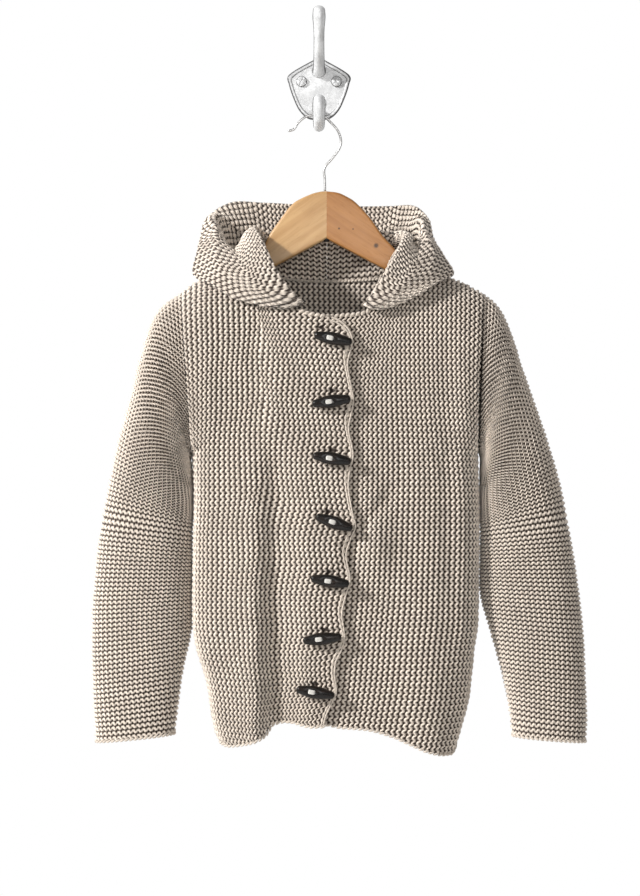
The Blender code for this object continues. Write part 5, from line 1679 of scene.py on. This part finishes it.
def beech_material(wood):
    """Lacquered beech: grain and short rays that run along the arm, with small knots."""
    material, tree, shader, place_of = open_material(wood.name, 0.42, {
        "Coat Weight": 0.15, "Coat Roughness": 0.3})
    turned = tree.add("ShaderNodeMapping", {
        "Vector": place_of, "Rotation": (0.0, math.radians(wood.slope), 0.0)}).outputs[0]
    long_grain, ray = (
        noise(tree, tree.add("ShaderNodeMapping", {"Vector": turned, "Scale": scale}).outputs[0],
              1.0, detail, 0.6)
        for scale, detail in (((8.0, 40.0, 150.0), 4.0), ((110.0, 300.0, 1500.0), 2.0))
    )
    cloud = noise(tree, place_of, 22.0, 2.0)
    colour = mix_colour(tree, ramp(tree, long_grain, 0.3, 0.72), wood.pale, wood.dark)
    colour = mix_colour(tree, ramp(tree, ray, 0.58, 0.75, 0.0, 0.45), colour, toned(wood.dark, 0.62))
    colour = mix_colour(tree, ramp(tree, cloud, 0.35, 0.7, 0.0, 0.35), colour, toned(wood.pale, 1.15))
    for knot in wood.knots:
        spot = tuple(placed(np.array([knot.x, knot.drop, -HANGER_THICK / 2])))
        away = tree.add("ShaderNodeVectorMath", {0: place_of, 1: spot}, operation="DISTANCE")
        near = ramp(tree, away.outputs["Value"], knot.radius * MM, knot.radius * KNOT_CORE * MM)
        colour = mix_colour(tree, near, colour, toned(wood.dark, 0.25))
    tree.put(shader.inputs["Base Color"], colour)
    tree.put(shader.inputs["Roughness"], ramp(tree, ray, 0.3, 0.7, 0.34, 0.5))
    bump(tree, shader, ray, 0.18, 0.0003)
    return material


def metal_material(metal):
    """Metal with a mottled tone, fine grit and uneven gloss, darkened by the painted shade that its mesh
    carries, with that shade's border broken up by the grit.
    """
    rough = metal.roughness
    material, tree, shader, place_of = open_material(metal.name, rough, {"Metallic": metal.metallic})
    cloud = noise(tree, place_of, metal.scale, 4.0, 0.6)
    grain = noise(tree, place_of, metal.scale * 9, 3.0, 0.6)
    stain = tree.add("ShaderNodeAttribute", attribute_name="stain").outputs["Fac"]
    colour = mix_colour(tree, ramp(tree, cloud, 0.3, 0.7), metal.pale, metal.dark)
    # Painted shade from the mesh, its border broken up by the grit, turns the colour towards near black.
    painted_edge_shade = ramp(tree, tree.math("MULTIPLY_ADD", tree.minus(grain, 0.5), 0.7, stain), 0.25, 0.75)
    tree.put(shader.inputs["Base Color"], mix_colour(tree, painted_edge_shade, colour, toned(metal.pale, 0.09)))
    tree.put(shader.inputs["Roughness"], ramp(tree, grain, 0.3, 0.7, rough - 0.07, rough + 0.1))
    bump(tree, shader, grain, metal.grit, metal.distance)
    return material


# -------- operators
def knit_of(context):
    return context.scene.cardigan_knit


class CARDIGAN_OT_materials(bpy.types.Operator):
    """Makes the yarn, horn, wood and metal finishes"""

    bl_idname = "cardigan.materials"
    bl_label = "Finishes"

    def execute(self, context):
        MATERIALS["knit"] = knit_material(knit_of(context))
        MATERIALS["edging"] = edging_material(knit_of(context))
        MATERIALS["thread"] = thread_material()
        MATERIALS["horn"] = horn_material()
        MATERIALS.update({key: beech_material(wood) for key, wood in WOODS.items()})
        MATERIALS.update({key: metal_material(metal) for key, metal in METALS.items()})
        relief_tree()
        chain_tree()
        return {"FINISHED"}


class CARDIGAN_OT_back(bpy.types.Operator):
    """Knits the back"""

    bl_idname = "cardigan.back"
    bl_label = "Back"

    def execute(self, context):
        settings = knit_of(context)
        shell = knit_panel("back_knit", back_points, settings, False, (0, -1), BACK_ROWS_PER_STITCH)
        piece = declare(knit(shell, settings), "knit", "back")
        rib = make_chain("neck_pickup_back", neck_pickup_line(), PICKUP_CHAIN)
        hem = make_hem("hem_back", back_points)
        return {"FINISHED"}


def neck_pickup_line():
    """The picked-up ridge along the back's neck, just inside the hood's foot."""
    x = np.linspace(NECK_BACK[1].x, NECK_BACK[-2].x, PICKUP_POINTS)
    spots = np.array([neck_point(value, False)[0] for value in x])
    return placed(spots - (0, PICKUP_RISE, PICKUP_PROUD))


class CARDIGAN_OT_fronts(bpy.types.Operator):
    """Knits the two fronts, with buttonholes in the upper one"""

    bl_idname = "cardigan.fronts"
    bl_label = "Fronts"

    def execute(self, context):
        settings = knit_of(context)
        shell = knit_panel("front_right_knit", top_front_points, settings, True, (0,), holes=BUTTONHOLES)
        upper = declare(knit(shell, settings), "knit", "front_right_upper", "front_right_lower")
        cords = declare(make_tubes("placket_edge", placket_cords(), CORD_SIDES, "edging"), "knit")
        hem = make_hem("hem_right", top_front_points)
        neck = make_chain("neck_cast_off", neck_front_line(), CAST_OFF_CHAIN)
        shell = knit_panel("front_left_knit", under_front_points, settings, True, (-1,))
        under = declare(knit(shell, settings), "knit", "front_left")
        hem = make_hem("hem_left", under_front_points)
        return {"FINISHED"}


def placket_cords():
    """The edge of the top front: two plump cords up the placket and round its top corner."""
    made = []
    height = PLACKET[0].drop - PLACKET[-1].drop
    up = np.linspace(0, 1, CORD_POINTS)
    near = np.min([np.abs(edge_drop(PLACKET, up) - toggle.drop) for toggle in TOGGLES], axis=0)
    for base, wide in CORD_INSETS:
        inset = base + wide * np.clip(near / CORD_SPREAD_OVER, 0, 1)
        top = 1 - (base + wide) / height
        round_t = np.linspace(1, CORD_END_T, CORD_CORNER_POINTS)[1:]
        t = np.append(1 - inset / CORD_PANEL_WIDTH, round_t - inset[-1] / CORD_PANEL_WIDTH)
        v = np.append(up * top, np.full(len(round_t), top))
        path = calmed(np.stack([t, v], axis=1), CORD_CALM)
        line = top_front_points(path[:, 0], path[:, 1])
        line[:, 1] -= CORD_PROUD * MM
        bumps = 1 + CORD_SWELL * np.sin(2 * math.pi * CORD_BUMPS * (v + base) - t)
        made.append((line, CORD_RADIUS * MM * bumps))
    return made


def neck_front_line():
    """The cast-off edge of the fronts at the neck, from the top front down to the under one."""
    x = np.linspace(CAST_OFF_FROM, CAST_OFF_TO, CAST_OFF_POINTS)
    drop = line_at(TOP_FRONT, x)
    v = np.clip((PLACKET[0].drop - drop) / (PLACKET[0].drop - PLACKET[-1].drop), 0, 1)
    lift = lift_at(PLACKET_STEP, x) * np.clip((CAST_OFF_LEVEL - x) / CAST_OFF_LEVEL, 0, 1)
    depth = body_depth(x, drop, v, True) + lift
    return place(x, drop + CAST_OFF_SINK, CAST_OFF_INSET - depth)


class CARDIGAN_OT_sleeves(bpy.types.Operator):
    """Knits both sleeves round the arm"""

    bl_idname = "cardigan.sleeves"
    bl_label = "Sleeves"

    def execute(self, context):
        settings = knit_of(context)
        angle = np.linspace(0, 2 * math.pi, CUFF_POINTS)
        for name, rings, way in (("sleeve_right", LEFT_SLEEVE, -1), ("sleeve_left", RIGHT_SLEEVE, 1)):
            shell = knit_sleeve(name + "_knit", rings, settings, way)
            piece = declare(knit(shell, settings, SLEEVE_WAVE), "knit", name + "_upper", name + "_lower")
            line = sleeve_points(rings, 0 * angle + 1, angle) + sleeve_shift(way)
            cuff = make_chain(name + "_cuff_edge", line, CUFF_CHAIN)
        return {"FINISHED"}


class CARDIGAN_OT_hood(bpy.types.Operator):
    """Knits the two halves of the hood, open on the shoulders"""

    bl_idname = "cardigan.hood"
    bl_label = "Hood"

    def execute(self, context):
        settings = knit_of(context)
        for name, rows, way in (("hood_right", LEFT_HOOD, -1), ("hood_left", RIGHT_HOOD, 1)):
            shell = knit_hood(name + "_knit", rows, settings, way)
            piece = declare(knit(shell, settings, HOOD_WAVE, HOOD_RELIEF), "knit", name)
        return {"FINISHED"}


class CARDIGAN_OT_toggles(bpy.types.Operator):
    """Turns the seven horn toggles and sews them on"""

    bl_idname = "cardigan.toggles"
    bl_label = "Toggles"

    def execute(self, context):
        for number, (toggle, dish_at) in enumerate(zip(TOGGLES, DISH_PLACES), 1):
            declare(make_toggle(number, toggle, dish_at), "horn", f"toggle_{number}")
            declare(make_thread(number, toggle, dish_at), "knit")
        return {"FINISHED"}


class CARDIGAN_OT_hanger(bpy.types.Operator):
    """Cuts the hanger's two boards and bends its wire"""

    bl_idname = "cardigan.hanger"
    bl_label = "Hanger"

    def execute(self, context):
        for name, table, way, wood in (("hanger_left", HANGER_LEFT, -1, "wood_light"),
                                       ("hanger_right", HANGER_RIGHT, 1, "wood_dark")):
            declare(make_hanger_half(name + "_board", table, way, wood), wood, name)
        declare(make_wire(), "wire", "hanger_wire")
        declare(make_nut(), "wire")
        return {"FINISHED"}


class CARDIGAN_OT_wall_hook(bpy.types.Operator):
    """Casts the wall hook and sets its three screws"""

    bl_idname = "cardigan.wall_hook"
    bl_label = "Wall hook"

    def execute(self, context):
        declare(make_plate(), "hook_metal", "wall_plate")
        for name, table in (("lower_prong", LOWER_PRONG), ("upper_prong", UPPER_PRONG)):
            declare(make_prong(name + "_cast", table), "hook_metal", name)
        for number, screw in enumerate(SCREWS, 1):
            declare(make_screw(number, screw), "screw", f"screw_{number}")
        return {"FINISHED"}


def lay_floor():
    """A round pale floor, which isn't part of the object."""
    turn = np.linspace(0, 2 * math.pi, FLOOR_SIDES, endpoint=False)
    rim = np.stack([FLOOR_RADIUS * np.cos(turn), HANGER_PLANE * MM + FLOOR_RADIUS * np.sin(turn),
                    np.full(FLOOR_SIDES, FLOOR_HEIGHT)], axis=1)
    mesh = bpy.data.meshes.new("floor")
    mesh.from_pydata(rim.tolist(), [], [tuple(range(FLOOR_SIDES))])
    material, tree, shader, place_of = open_material("pale floor", 0.9)
    tree.put(shader.inputs["Base Color"], mix_colour(tree, noise(tree, place_of, 3.0), *FLOOR_TONES))
    mesh.materials.append(material)
    add_object("floor", mesh)


def light_room():
    """A room that is white behind the garment, bright on one side of it and dim on the other."""
    world = bpy.data.worlds.new("white room")
    world.use_nodes = True
    room = Tree(world.node_tree)
    way = room.add("ShaderNodeTexCoord").outputs["Generated"]
    facing = room.add("ShaderNodeVectorMath", {0: way, 1: KEY_SIDE}, operation="DOT_PRODUCT")
    behind = ramp(room, room.add("ShaderNodeSeparateXYZ", {"Vector": way}).outputs["Y"], *BEHIND_FADE)
    side = ramp(room, facing.outputs["Value"], *SIDE_FADE, DIM_SIDE, BRIGHT_SIDE)
    tone = room.math("MULTIPLY_ADD", room.minus(1.0, side), behind, side)
    back = world.node_tree.nodes["Background"]
    grey = room.add("ShaderNodeCombineColor", {0: tone, 1: tone, 2: tone})
    room.put(back.inputs["Color"], grey.outputs[0])
    back.inputs["Strength"].default_value = WORLD_LIGHT
    return world


class CARDIGAN_OT_stage(bpy.types.Operator):
    """Lays the pale floor, sets the lights and the camera"""

    bl_idname = "cardigan.stage"
    bl_label = "Stage"

    def execute(self, context):
        scene = context.scene
        lay_floor()
        scene.world = light_room()
        scene.view_settings.view_transform = "Standard"
        for light in LIGHTS:
            lamp = bpy.data.lights.new(light.name, "AREA")
            lamp.energy = light.power
            lamp.size = light.size
            shining = add_object(light.name, lamp)
            shining.location = light.spot
            shining.rotation_euler = (Vector(AIM) - Vector(light.spot)).to_track_quat("-Z", "Y").to_euler()
        lens = bpy.data.cameras.new("camera")
        lens.lens = CAMERA_LENS
        lens.sensor_width = CAMERA_SENSOR
        lens.clip_end = CAMERA_REACH
        camera = add_object("camera", lens)
        camera.location = Vector(AIM) - Vector((0, CAMERA_AWAY, 0))
        camera.rotation_euler = (math.radians(90), 0, 0)
        scene.camera = camera
        return {"FINISHED"}


STEPS = (
    CARDIGAN_OT_materials, CARDIGAN_OT_stage, CARDIGAN_OT_wall_hook, CARDIGAN_OT_hanger, CARDIGAN_OT_back,
    CARDIGAN_OT_fronts, CARDIGAN_OT_sleeves, CARDIGAN_OT_hood, CARDIGAN_OT_toggles,
)


class CARDIGAN_PT_panel(bpy.types.Panel):
    """Lists the cardigan's steps and its knitting sizes"""

    bl_idname = "CARDIGAN_PT_panel"
    bl_label = "Cardigan"
    bl_space_type = "VIEW_3D"
    bl_region_type = "UI"
    bl_category = "Cardigan"

    def draw(self, context):
        for step in STEPS:
            self.layout.operator(step.bl_idname)
        for name in KnitSettings.__annotations__:
            self.layout.prop(knit_of(context), name)


CLASSES = (KnitSettings, *STEPS, CARDIGAN_PT_panel)


def register():
    for item in CLASSES:
        bpy.utils.register_class(item)
    bpy.types.Scene.cardigan_knit = PointerProperty(type=KnitSettings)


def unregister():
    del bpy.types.Scene.cardigan_knit
    for item in reversed(CLASSES):
        bpy.utils.unregister_class(item)


def main():
    register()
    for step in STEPS:
        group, action = step.bl_idname.split(".")
        getattr(getattr(bpy.ops, group), action)()


if __name__ == "__main__":
    main()
